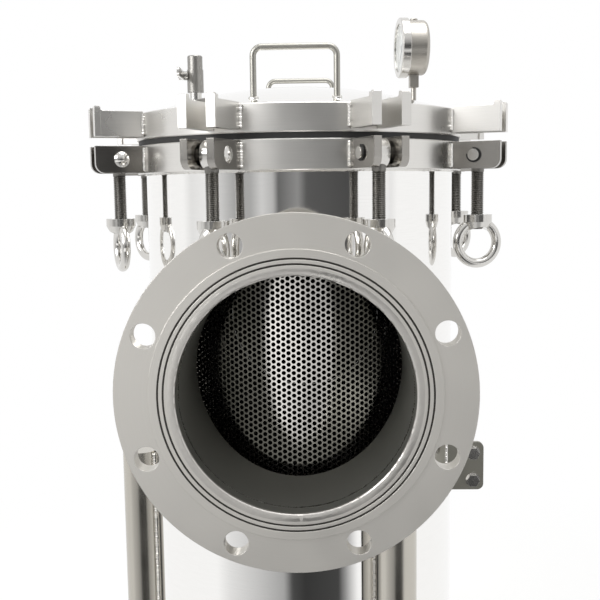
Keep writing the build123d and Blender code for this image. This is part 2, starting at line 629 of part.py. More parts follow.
def gauge_stem():
    """The square shank under the gauge case, with the thin pipe that carries it on the cover."""
    case_bottom = GAUGE_Z - GAUGE_CASE_DIAMETER / 2
    shank_bottom = case_bottom - GAUGE_SHANK_LENGTH
    height = GAUGE_Z - shank_bottom
    shank = Rot(0, 0, GAUGE_TURN) * Box(GAUGE_SHANK_SIDE, GAUGE_SHANK_SIDE, height)
    shank = Pos(0, 0, shank_bottom + height / 2) * shank
    stem = shank + upright(GAUGE_PIPE_DIAMETER / 2, COVER_RING_BOTTOM_Z, shank_bottom)
    stem -= upright(GAUGE_PIPE_BORE / 2, COVER_RING_BOTTOM_Z, GAUGE_Z)
    case_space = Rot(0, -90, 0) * upright(GAUGE_CASE_DIAMETER / 2 + RUNNING_GAP, -VESSEL_OD, VESSEL_OD)
    stem -= Pos(0, 0, GAUGE_Z) * (Rot(0, 0, GAUGE_TURN) * case_space)
    return Pos(GAUGE_X, 0, 0) * stem - crown_cutter()


def gauge_plug():
    """The small filling plug on top of the gauge case."""
    radius = GAUGE_CASE_DIAMETER / 2
    plug = upright(GAUGE_PLUG_DIAMETER / 2, GAUGE_Z, GAUGE_Z + radius + GAUGE_PLUG_HEIGHT)
    case_space = Rot(0, -90, 0) * upright(radius + RUNNING_GAP, -VESSEL_OD, VESSEL_OD)
    plug -= Pos(0, 0, GAUGE_Z) * case_space
    plug = fillet(plug.edges().group_by(Axis.Z)[-1], GAUGE_PLUG_HEIGHT / 2)
    return Pos(GAUGE_X, 0, 0) * (Rot(0, 0, GAUGE_TURN) * plug)


def vent_nipple():
    top = COVER_RING_TOP_Z + VENT_BODY_BOTTOM_ABOVE_RING
    nipple = tube(VENT_NIPPLE_DIAMETER / 2, VENT_BORE / 2, COVER_RING_BOTTOM_Z, top)
    return Pos(VENT_X, 0, 0) * nipple - crown_cutter()


def vent_body():
    """The lower half of the ball valve, with the boss that carries its stem."""
    bottom = COVER_RING_TOP_Z + VENT_BODY_BOTTOM_ABOVE_RING
    top = COVER_RING_TOP_Z + VENT_JOINT_ABOVE_RING
    body = upright(VENT_BODY_DIAMETER / 2, bottom, top)
    reach = VENT_BODY_DIAMETER / 2 + VENT_BOSS_LENGTH
    body += Pos(0, 0, VENT_BALL_Z) * lengthwise(VENT_BOSS_DIAMETER / 2, -reach, 0)
    body -= upright(VENT_BORE / 2, bottom, top)
    body -= Pos(0, 0, VENT_BALL_Z) * Sphere(VENT_BALL_DIAMETER / 2 + LOOSE_GAP)
    body -= upright(VENT_BALL_DIAMETER / 2 + LOOSE_GAP, VENT_BALL_Z, top)
    body -= Pos(0, 0, VENT_BALL_Z) * lengthwise(VENT_STEM_DIAMETER / 2 + RUNNING_GAP, -reach, 0)
    return Pos(VENT_X, 0, 0) * body


def vent_cap():
    """The screwed insert that closes the ball valve and holds its outlet."""
    bottom = COVER_RING_TOP_Z + VENT_JOINT_ABOVE_RING
    top = COVER_RING_TOP_Z + VENT_TOP_ABOVE_RING
    cap = tube(VENT_CAP_DIAMETER / 2, VENT_BORE / 2, bottom, top)
    cap -= Pos(0, 0, VENT_BALL_Z) * Sphere(VENT_BALL_DIAMETER / 2 + LOOSE_GAP)
    cap = chamfer(cap.edges().group_by(Axis.Z)[-1], RING_EDGE)
    return Pos(VENT_X, 0, 0) * cap


def vent_ball():
    """The ball with its stem. Its bore lies across the valve, so the vent is shut."""
    ball = Sphere(VENT_BALL_DIAMETER / 2)
    lever_outside = VENT_BODY_DIAMETER / 2 + VENT_BOSS_LENGTH + VENT_LEVER_THICKNESS + RUNNING_GAP
    stem_end = lever_outside + VENT_NUT_HEIGHT + 1
    ball += lengthwise(VENT_STEM_DIAMETER / 2, -stem_end, 0)
    ball -= crosswise(VENT_BORE / 2, -VENT_BALL_DIAMETER, VENT_BALL_DIAMETER)
    return Pos(VENT_X, 0, VENT_BALL_Z) * ball


def vent_lever():
    """The flat lever on the stem, pointing forwards while the vent is shut."""
    inside = VENT_BODY_DIAMETER / 2 + VENT_BOSS_LENGTH + RUNNING_GAP
    blade = SlotCenterToCenter(VENT_LEVER_LENGTH, VENT_LEVER_WIDTH)
    blade = Pos(-VENT_LEVER_LENGTH / 2, 0) * blade - Circle(VENT_STEM_DIAMETER / 2 + RUNNING_GAP)
    lever = extrude(blade, VENT_LEVER_THICKNESS)
    lever = Rot(0, 0, 90) * lever
    lever = Pos(-inside, 0, 0) * (Rot(0, -90, 0) * lever)
    return Pos(VENT_X, 0, VENT_BALL_Z) * lever


def lever_nut():
    inside = VENT_BODY_DIAMETER / 2 + VENT_BOSS_LENGTH + RUNNING_GAP + VENT_LEVER_THICKNESS
    nut = extrude(hexagon(VENT_NUT_ACROSS) - Circle(VENT_STEM_DIAMETER / 2 + RUNNING_GAP), VENT_NUT_HEIGHT)
    return Pos(VENT_X - inside, 0, VENT_BALL_Z) * (Rot(0, -90, 0) * nut)


def basket_seat():
    return inclined_ring(SHELL_INNER_RADIUS - WELD_GAP, SEAT_BORE_RADIUS, -SEAT_THICKNESS, 0)


def seat_gasket():
    inner = SEAT_BORE_RADIUS
    return inclined_ring(inner + SEAT_GASKET_WIDTH, inner, 0, SEAT_GASKET_THICKNESS)


def basket_rim():
    bottom = SEAT_GASKET_THICKNESS
    inner = BASKET_RADIUS - BASKET_WALL
    return inclined_ring(BASKET_RIM_RADIUS, inner, bottom, bottom + BASKET_RIM_THICKNESS)


def wall_top_z(azimuth):
    """The height of the basket wall's sloping top edge at an azimuth."""
    slope = math.radians(SEAT_ANGLE)
    y = -BASKET_RADIUS * math.cos(math.radians(azimuth))
    return NOZZLE_AXIS_Z - y * math.tan(slope) + SEAT_GASKET_THICKNESS / math.cos(slope)


def basket_wall():
    """The basket's upright wall, cut off along the seat and pierced all round."""
    floor = BASKET_FLOOR_Z
    outer = BASKET_RADIUS
    wall = tube(outer, outer - BASKET_WALL, floor, NOZZLE_AXIS_Z + VESSEL_OD)
    wall -= inclined_slab(SEAT_GASKET_THICKNESS, 2 * VESSEL_OD)
    holes = []
    for column in range(PERFORATION_COLUMNS):
        azimuth = column * 360 / PERFORATION_COLUMNS
        first = floor + PERFORATION_MARGIN + (column % 2) * PERFORATION_PITCH / 2
        room = wall_top_z(azimuth) - PERFORATION_MARGIN - first
        for row in range(int(room / PERFORATION_PITCH) + 1):
            height = Pos(0, 0, first + row * PERFORATION_PITCH)
            holes.append(at_azimuth(height * lengthwise(PERFORATION_DIAMETER / 2, 0, VESSEL_OD), azimuth))
    return wall - holes


def basket_floor():
    floor = BASKET_FLOOR_Z
    return upright(BASKET_RADIUS - BASKET_WALL - WELD_GAP, floor, floor + BASKET_FLOOR_THICKNESS)


def basket_handle():
    """The rod handle across the basket, with its feet on the sloping rim."""
    rim_top = SEAT_GASKET_THICKNESS + BASKET_RIM_THICKNESS
    gap = 2 * BASKET_RADIUS - BASKET_WALL + BASKET_HANDLE_ROD
    top = NOZZLE_AXIS_Z + BASKET_HANDLE_RISE
    bail = rod_bail(gap, BASKET_HANDLE_ROD, top, BASKET_HANDLE_BEND, NOZZLE_AXIS_Z - BASKET_HANDLE_ROD)
    return bail - inclined_slab(-VESSEL_OD, rim_top)


def leg(azimuth):
    """A pipe leg closed at its top and welded along the side of the shell."""
    pipe = upright(LEG_OD / 2, FOOT_THICKNESS, LEG_TOP_Z)
    pipe -= upright(LEG_OD / 2 - LEG_WALL, FOOT_THICKNESS, LEG_TOP_Z - LEG_CAP)
    return at_azimuth(Pos(LEG_CENTRE_RADIUS, 0, 0) * pipe, azimuth)


def foot_plate(azimuth):
    """A square foot with its anchor hole outside the leg."""
    plate = Pos(FOOT_SHIFT, 0) * RectangleRounded(FOOT_SIDE, FOOT_SIDE, FOOT_CORNER)
    plate -= Pos(FOOT_HOLE_OUT, 0) * Circle(FOOT_HOLE / 2)
    return at_azimuth(Pos(LEG_CENTRE_RADIUS, 0, 0) * extrude(plate, FOOT_THICKNESS), azimuth)


def bracket_heights():
    middle = NOZZLE_AXIS_Z - BRACKET_BELOW_AXIS
    return (middle - BRACKET_BOLT_PITCH / 2, middle + BRACKET_BOLT_PITCH / 2)


def side_bracket():
    """A plate that stands out from the right side of the shell and faces the front."""
    root = math.sqrt(VESSEL_RADIUS**2 - BRACKET_Y**2) - BRACKET_CORNER
    middle = NOZZLE_AXIS_Z - BRACKET_BELOW_AXIS
    profile = Pos((root + BRACKET_OUTER_X) / 2, middle) * Rectangle(BRACKET_OUTER_X - root, BRACKET_HEIGHT)
    profile = fillet(profile.vertices().group_by(Axis.X)[-1], BRACKET_CORNER)
    plate = Pos(0, BRACKET_Y, 0) * extrude(Plane.XZ * profile, BRACKET_THICKNESS / 2, both=True)
    plate -= upright(VESSEL_RADIUS + WELD_GAP, SHELL_BOTTOM_Z, BODY_RING_BOTTOM_Z)
    for height in bracket_heights():
        hole = crosswise(BRACKET_BOLT_DIAMETER / 2 + WELD_GAP, -BRACKET_THICKNESS, BRACKET_THICKNESS)
        plate -= Pos(BRACKET_BOLT_X, BRACKET_Y, height) * hole
    return plate


def bracket_bolt():
    """A hexagon bolt on the Y axis with a washer under its head and its nut, made as one."""
    front = -BRACKET_THICKNESS / 2
    back = BRACKET_THICKNESS / 2
    washer_front = front - BRACKET_WASHER
    bolt = crosswise(BRACKET_BOLT_DIAMETER / 2, washer_front, back + BRACKET_NUT + BRACKET_BOLT_TAIL)
    bolt += crosswise(BRACKET_WASHER_DIAMETER / 2, washer_front, front)
    head = Rot(-90, 0, 0) * extrude(hexagon(BRACKET_BOLT_ACROSS), BRACKET_BOLT_HEAD)
    bolt += Pos(0, washer_front - BRACKET_BOLT_HEAD, 0) * head
    nut = Rot(-90, 0, 0) * extrude(hexagon(BRACKET_BOLT_ACROSS), BRACKET_NUT)
    return bolt + Pos(0, back, 0) * nut


def bracket_bolts():
    bolts = [Pos(BRACKET_BOLT_X, BRACKET_Y, height) * bracket_bolt() for height in bracket_heights()]
    return Compound(children=bolts)


def all_nodes():
    """Every named piece with its solids."""
    nodes = {
        "vessel_shell": vessel_shell(),
        "bottom_head": bottom_head(),
        "drain_coupling": drain_coupling(),
        "drain_plug": drain_plug(),
        "body_ring": body_ring(),
        "body_lugs": all_lugs(lambda side: body_lug_plate()),
        "clevis_pins": at_every_pin(clevis_pin()),
        "retaining_rings": at_every_pin(retaining_ring()),
        "cover_gasket": cover_gasket(),
        "front_nozzle": nozzle(front=True),
        "front_flange": nozzle_flange(front=True),
        "rear_nozzle": nozzle(front=False),
        "rear_flange": nozzle_flange(front=False),
        "basket_seat": basket_seat(),
        "seat_gasket": seat_gasket(),
        "foot_plates": Compound(children=[foot_plate(azimuth) for azimuth in LEG_AZIMUTHS]),
        "side_bracket": side_bracket(),
        "bracket_bolts": bracket_bolts(),
        "cover_ring": cover_ring(),
        "cover_head": cover_head(),
        "cover_lugs": all_lugs(cover_lug_plate),
        "front_handle": cover_handle(-1),
        "rear_handle": cover_handle(1),
        "gauge_stem": gauge_stem(),
        "gauge_case": gauge_case(),
        "gauge_bezel": gauge_bezel(),
        "gauge_dial": gauge_dial(),
        "gauge_window": gauge_window(),
        "gauge_plug": gauge_plug(),
        "gauge_pointer": gauge_pointer(),
        "vent_nipple": vent_nipple(),
        "vent_body": vent_body(),
        "vent_cap": vent_cap(),
        "vent_ball": vent_ball(),
        "vent_lever": vent_lever(),
        "lever_nut": lever_nut(),
        "basket_wall": basket_wall(),
        "basket_rim": basket_rim(),
        "basket_floor": basket_floor(),
        "basket_handle": basket_handle(),
    }
    for name, azimuth in zip(("left_leg", "right_leg", "rear_leg"), LEG_AZIMUTHS):
        nodes[name] = leg(azimuth)
    for index in range(SWING_BOLTS):
        nodes[f"eye_bolt_{index + 1}"] = eye_bolt(index)
        nodes[f"eye_nut_{index + 1}"] = eye_nut(index)
    return nodes


os.makedirs("parts", exist_ok=True)
for node_name, node_shape in all_nodes().items():
    export_step(node_shape, f"parts/{node_name}.step")
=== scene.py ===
"""Looks of the basket strainer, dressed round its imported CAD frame.

Every size is in metres and every place is in the frame's own axes: +Z is up, -Y is the front,
where the outlet nozzle points, and the origin is the centre of the foot circle on the floor.
Azimuths are counted from the front towards +X.
"""

from __future__ import annotations

import logging
import math
import random
from collections.abc import Sequence
from dataclasses import dataclass
from enum import Enum
from functools import cache

import bmesh
import bpy
from mathutils import Matrix, Vector


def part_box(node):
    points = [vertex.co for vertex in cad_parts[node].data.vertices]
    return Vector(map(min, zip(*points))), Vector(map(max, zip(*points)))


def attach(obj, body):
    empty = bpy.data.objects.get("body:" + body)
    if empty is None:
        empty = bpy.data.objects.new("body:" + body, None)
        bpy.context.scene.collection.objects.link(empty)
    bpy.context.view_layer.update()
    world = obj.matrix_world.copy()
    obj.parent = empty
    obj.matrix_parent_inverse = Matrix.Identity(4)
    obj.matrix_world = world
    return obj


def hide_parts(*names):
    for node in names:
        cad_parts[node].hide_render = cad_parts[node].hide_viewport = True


Tree = bpy.types.NodeTree
Socket = bpy.types.NodeSocket
Material = bpy.types.Material

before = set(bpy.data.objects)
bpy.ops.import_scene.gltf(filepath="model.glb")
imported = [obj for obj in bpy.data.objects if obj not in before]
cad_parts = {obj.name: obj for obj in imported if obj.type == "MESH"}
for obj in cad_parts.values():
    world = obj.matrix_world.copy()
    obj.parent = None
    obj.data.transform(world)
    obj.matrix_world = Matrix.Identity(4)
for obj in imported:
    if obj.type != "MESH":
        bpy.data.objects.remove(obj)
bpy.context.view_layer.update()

LOG = logging.getLogger("basket_strainer")
MM = 0.001
SWING_BOLTS = 8

# Stretch of the noise that makes level tool marks, and shares and sizes common to the finishes.
LEVEL_STRETCH = (0.02, 0.02, 1.0)
DULL_SHARE = 0.9
LEAST_ROUGHNESS = 0.02
INNER_ROUGHNESS = 0.5
METAL_PATCHES = 14.0
COATING_PATCHES = 60.0

# Between what shares of their depth the gasket grooves get painted shade.
GROOVE_BAND = (0.3, 1.4)

# A weld bead's points round it and along each ripple, and the limits of its swell.
BEAD_SIDES = 8
BEAD_RIPPLE = 4
BEAD_UNEVEN = (0.86, 1.12)
BEAD_TROUGH = 0.88
BEAD_CREST = 0.24
SHARP_ANGLE = 35.0


class Body(str, Enum):
    """The bodies of the frame that new pieces ride on."""

    HOUSING = "housing"
    COVER = "cover"
    BASKET = "basket"


class Slot(str, Enum):
    """The record's material slots that new pieces take their finish from."""

    MIRROR = "mirror_steel"
    SATIN = "satin_steel"
    MACHINED = "machined_steel"
    FASTENER = "bright_fasteners"
    POINTER = "black_pointer"


def linear(hex_colour: str) -> tuple[float, float, float, float]:
    """Turns an sRGB hex colour to linear.

    Args:
        hex_colour: Six hex digits after a hash, such as "#C8C6C2".

    Returns:
        Linear red, green and blue, with an alpha of 1.
    """
    channels = [int(hex_colour[i : i + 2], 16) / 255 for i in (1, 3, 5)]
    red, green, blue = (
        c / 12.92 if c <= 0.04045 else ((c + 0.055) / 1.055) ** 2.4 for c in channels
    )
    return red, green, blue, 1.0


def add_node(
    tree: Tree,
    kind: str,
    settings: dict[str, object] | None = None,
    inputs: dict[str | int, object] | None = None,
) -> bpy.types.Node:
    """Adds one shader node with its settings, input values and incoming links.

    Args:
        tree: The node tree that gets the node.
        kind: The node's type name.
        settings: Attributes to set on the node.
        inputs: A value, or an output socket to link from, for each named or numbered input.

    Returns:
        The new node.
    """
    node = tree.nodes.new(kind)
    for name, value in (settings or {}).items():
        setattr(node, name, value)
    for name, value in (inputs or {}).items():
        if isinstance(value, Socket):
            tree.links.new(value, node.inputs[name])
        else:
            node.inputs[name].default_value = value
    return node


def calc(tree: Tree, operation: str, first: Socket | float, second: Socket | float = 0.0) -> Socket:
    """Adds one maths node.

    Args:
        tree: The node tree that gets the node.
        operation: The node's operation.
        first: First value.
        second: Second value, where the operation takes one.

    Returns:
        The result.
    """
    values = {0: first, 1: second}
    return add_node(tree, "ShaderNodeMath", {"operation": operation}, values).outputs[0]


def blend(tree: Tree, share: Socket, first: object, second: object) -> Socket:
    """Adds a node that mixes two colours.

    Args:
        tree: The node tree that gets the node.
        share: Share of the second colour.
        first: First colour, as a value or a socket.
        second: Second colour, as a value or a socket.

    Returns:
        The mixed colour.
    """
    values = {"Factor": share, 6: first, 7: second}
    return add_node(tree, "ShaderNodeMix", {"data_type": "RGBA"}, values).outputs[2]


def noise(
    tree: Tree,
    vector: Socket,
    scale: float,
    detail: float,
    roughness: float = 0.5,
) -> Socket:
    """Adds a noise texture.

    Args:
        tree: The node tree that gets the node.
        vector: The place that it is read at.
        scale: Number of its lumps in a metre.
        detail: Number of finer layers on it.
        roughness: Strength of each finer layer.

    Returns:
        The noise from 0 to 1.
    """
    values = {"Vector": vector, "Scale": scale, "Detail": detail, "Roughness": roughness}
    return add_node(tree, "ShaderNodeTexNoise", None, values).outputs["Fac"]


def bump(tree: Tree, height: Socket, distance: float, normal: Socket | None = None) -> Socket:
    """Adds a bump node.

    Args:
        tree: The node tree that gets the node.
        height: The height from 0 to 1.
        distance: Distance that a height of 1 stands for.
        normal: The normal to start from, if not the surface's own.

    Returns:
        The normal.
    """
    values = {"Height": height, "Distance": distance, "Strength": 1.0}
    if normal is not None:
        values["Normal"] = normal
    return add_node(tree, "ShaderNodeBump", None, values).outputs[0]


def new_material(name: str) -> tuple[Material, Tree]:
    """Starts a material that has no nodes yet.

    Args:
        name: Name of the material.

    Returns:
        The material and its node tree.
    """
    made = bpy.data.materials.new(name)
    made.use_nodes = True
    made.node_tree.nodes.clear()
    return made, made.node_tree


def end_mixed(
    tree: Tree,
    share: Socket,
    first: bpy.types.Node,
    second: bpy.types.Node,
    output: str = "ShaderNodeOutputMaterial",
) -> None:
    """Ends a node tree in a mix of two shaders.

    Args:
        tree: The node tree.
        share: Share of the second shader.
        first: The first shader.
        second: The second shader.
        output: Type name of the output node.
    """
    layers = {0: share, 1: first.outputs[0], 2: second.outputs[0]}
    mixed = add_node(tree, "ShaderNodeMixShader", None, layers)
    add_node(tree, output, None, {"Surface": mixed.outputs[0]})


class Grain(Enum):
    """How the tool marks of a metal finish run."""

    AROUND = "round the vessel, level with the floor"
    TURNED = "in circles round the nozzle axis"
    RANDOM = "in no direction"


@dataclass(frozen=True)
class Metal:
    """A bare metal surface with its tool marks.

    Attributes:
        name: Material name.
        colour: Face-on reflection colour, as sRGB hex.
        roughness: Mean roughness.
        smudge: How far the roughness strays in soft patches.
        grain: Direction of the tool marks.
        grain_pitch: Distance between tool marks.
        grain_depth: Depth of the tool marks.
        wave_pitch: Length of the slow waves of rolled and polished sheet, or 0 for none.
        wave_depth: Depth of those waves.
        inner_colour: Colour nearer than inner_radius to the inner axis, or empty
        for none. It is the duller inner finish, darkened as painted shade.
        inner_radius: Radius inside which the inner colour shows.
        inner_along_nozzle: True if the inner axis is the nozzle's, False if the vessel's.
        edge: Radius of the broken edges that catch the light, or 0 for none.
        groove_colour: Colour of the painted shade down in the gasket grooves, or empty for none.
        groove_reach: Radius inside which the grooves lie.
        groove_face: Distance of the face with the gasket grooves from the vessel axis.
        groove_depth: Depth of the grooves.
    """

    name: str
    colour: str
    roughness: float
    smudge: float = 0.03
    grain: Grain = Grain.RANDOM
    grain_pitch: float = 0.8 * MM
    grain_depth: float = 0.004 * MM
    wave_pitch: float = 0.0
    wave_depth: float = 0.0
    inner_colour: str = ""
    inner_radius: float = 0.0
    inner_along_nozzle: bool = False
    edge: float = 0.0
    groove_colour: str = ""
    groove_reach: float = 0.0
    groove_face: float = 0.0
    groove_depth: float = 1 * MM

    def place(self, tree: Tree) -> tuple[Socket, ...]:
        """Adds the position nodes.

        Args:
            tree: The material's node tree.

        Returns:
            The position, and its x, y and z counted from the vessel axis and the nozzle axis.
        """
        point = add_node(tree, "ShaderNodeNewGeometry").outputs["Position"]
        split = add_node(tree, "ShaderNodeSeparateXYZ", None, {0: point})
        height = calc(tree, "SUBTRACT", split.outputs["Z"], nozzle_axis_z())
        return point, split.outputs["X"], split.outputs["Y"], height

    def distance(self, tree: Tree, first: Socket, second: Socket) -> Socket:
        """Adds nodes for the distance from an axis.

        Args:
            tree: The material's node tree.
            first: One coordinate across the axis.
            second: The other coordinate across the axis.

        Returns:
            The distance.
        """
        vector = add_node(tree, "ShaderNodeCombineXYZ", None, {0: first, 1: second}).outputs[0]
        length = add_node(tree, "ShaderNodeVectorMath", {"operation": "LENGTH"}, {0: vector})
        return length.outputs["Value"]

    def grooved(self, tree: Tree, colour: Socket, along: Socket, radius: Socket) -> Socket:
        """Adds nodes that paint shade into the grooves below the flange's face.

        Args:
            tree: The material's node tree.
            colour: The colour on the face.
            along: The coordinate along the nozzle axis.
            radius: The distance from the nozzle axis.

        Returns:
            The colour, with the painted shade in the grooves.
        """
        depth = calc(tree, "ABSOLUTE", along)
        share = calc(tree, "LESS_THAN", radius, self.groove_reach)
        for operation, part in zip(("LESS_THAN", "GREATER_THAN"), GROOVE_BAND):
            held = calc(tree, operation, depth, self.groove_face - part * self.groove_depth)
            share = calc(tree, "MULTIPLY", share, held)
        return blend(tree, share, colour, linear(self.groove_colour))

    def marks(self, tree: Tree, point: Socket, radius: Socket) -> Socket:
        """Adds the tool marks as a height from 0 to 1.

        Args:
            tree: The material's node tree.
            point: The position.
            radius: The distance from the nozzle axis.

        Returns:
            The height.
        """
        line = point
        if self.grain is Grain.TURNED:
            line = add_node(tree, "ShaderNodeCombineXYZ", None, {0: radius}).outputs[0]
        elif self.grain is Grain.AROUND:
            values = {0: point, 1: LEVEL_STRETCH}
            stretch = add_node(tree, "ShaderNodeVectorMath", {"operation": "MULTIPLY"}, values)
            line = stretch.outputs[0]
        return noise(tree, line, 1.0 / self.grain_pitch, 3.0, 0.6)

    def material(self) -> Material:
        """Builds the material.

        Returns:
            The finished material.
        """
        made, tree = new_material(self.name)
        shader = add_node(tree, "ShaderNodeBsdfPrincipled", None, {"Metallic": 1.0})
        add_node(tree, "ShaderNodeOutputMaterial", None, {"Surface": shader.outputs[0]})
        point, across, along, height = self.place(tree)
        nozzle_radius = self.distance(tree, across, height)
        marks = self.marks(tree, point, nozzle_radius)
        bright = linear(self.colour)
        dull = tuple(DULL_SHARE * channel for channel in bright[:3]) + (1.0,)
        colour = blend(tree, marks, dull, bright)
        patches = {
            "Value": noise(tree, point, METAL_PATCHES, 4.0),
            "From Min": 0.3,
            "From Max": 0.7,
            "To Min": max(self.roughness - self.smudge, LEAST_ROUGHNESS),
            "To Max": self.roughness + self.smudge,
        }
        roughness = add_node(tree, "ShaderNodeMapRange", None, patches).outputs[0]
        # Nearer the inner axis the metal is duller, and its colour is darkened as painted shade.
        if self.inner_colour:
            radius = nozzle_radius
            if not self.inner_along_nozzle:
                radius = self.distance(tree, across, along)
            inside = calc(tree, "LESS_THAN", radius, self.inner_radius)
            colour = blend(tree, inside, colour, linear(self.inner_colour))
            values = {"Factor": inside, 2: roughness, 3: INNER_ROUGHNESS}
            mixed = add_node(tree, "ShaderNodeMix", {"data_type": "FLOAT"}, values)
            roughness = mixed.outputs[0]
        # The gasket grooves get a darker colour as painted shade.
        if self.groove_colour:
            colour = self.grooved(tree, colour, along, nozzle_radius)
        normal = None
        if self.edge:
            bevel = add_node(tree, "ShaderNodeBevel", {"samples": 4}, {"Radius": self.edge})
            normal = bevel.outputs[0]
        normal = bump(tree, marks, self.grain_depth, normal)
        if self.wave_pitch:
            waves = noise(tree, point, 1.0 / self.wave_pitch, 1.0)
            normal = bump(tree, waves, self.wave_depth, normal)
        for socket, name in ((colour, "Base Color"), (roughness, "Roughness"), (normal, "Normal")):
            tree.links.new(socket, shader.inputs[name])
        return made


@dataclass(frozen=True)
class Coating:
    """A non-metal surface: rubber, enamel, paint or print.

    Attributes:
        name: Material name.
        colour: Surface colour, as sRGB hex.
        worn_colour: Colour that it strays to in soft patches.
        roughness: Mean roughness.
        texture_pitch: Size of the surface texture.
        texture_depth: Depth of the surface texture.
    """

    name: str
    colour: str
    worn_colour: str
    roughness: float
    texture_pitch: float = 0.6 * MM
    texture_depth: float = 0.01 * MM

    def material(self) -> Material:
        """Builds the material.

        Returns:
            The finished material.
        """
        made, tree = new_material(self.name)
        shader = add_node(tree, "ShaderNodeBsdfPrincipled", None, {"Roughness": self.roughness})
        add_node(tree, "ShaderNodeOutputMaterial", None, {"Surface": shader.outputs[0]})
        point = add_node(tree, "ShaderNodeNewGeometry").outputs["Position"]
        patches = noise(tree, point, COATING_PATCHES, 5.0)
        colour = blend(tree, patches, linear(self.colour), linear(self.worn_colour))
        texture = noise(tree, point, 1.0 / self.texture_pitch, 2.0)
        tree.links.new(colour, shader.inputs["Base Color"])
        tree.links.new(bump(tree, texture, self.texture_depth), shader.inputs["Normal"])
        return made


@dataclass(frozen=True)
class Glass:
    """Clear sheet glass, ground flat and polished.

    Attributes:
        name: Material name.
        colour: Tint of the glass, as sRGB hex.
        roughness: Surface roughness.
        dust_depth: Depth of the dust and wipe marks on it.
    """

    name: str
    colour: str = "#FBFDFC"
    roughness: float = 0.02
    dust_depth: float = 0.002 * MM

    def material(self) -> Material:
        """Builds the material.

        Returns:
            The finished material.
        """
        made, tree = new_material(self.name)
        point = add_node(tree, "ShaderNodeNewGeometry").outputs["Position"]
        values = {
            "Base Color": linear(self.colour),
            "Roughness": self.roughness,
            "IOR": 1.5,
            "Transmission Weight": 1.0,
            "Normal": bump(tree, noise(tree, point, 90.0, 3.0), self.dust_depth),
        }
        shader = add_node(tree, "ShaderNodeBsdfPrincipled", None, values)
        tint = {"Color": linear(self.colour)}
        clear = add_node(tree, "ShaderNodeBsdfTransparent", None, tint)
        shadow = add_node(tree, "ShaderNodeLightPath").outputs["Is Shadow Ray"]
        end_mixed(tree, shadow, shader, clear)
        return made


@cache
def node_box(node: str) -> tuple[Vector, Vector]:
    """The low and high corner of a CAD node's box."""
    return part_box(node)


def box_centre(node: str) -> Vector:
    """The middle of a CAD node's box."""
    low, high = node_box(node)
    return (low + high) / 2


def nozzle_axis_z() -> float:
    """The height of the nozzle axis."""
    return box_centre("front_flange").z


def vessel_radius() -> float:
    """The outer radius of the vessel shell."""
    return node_box("vessel_shell")[1].x


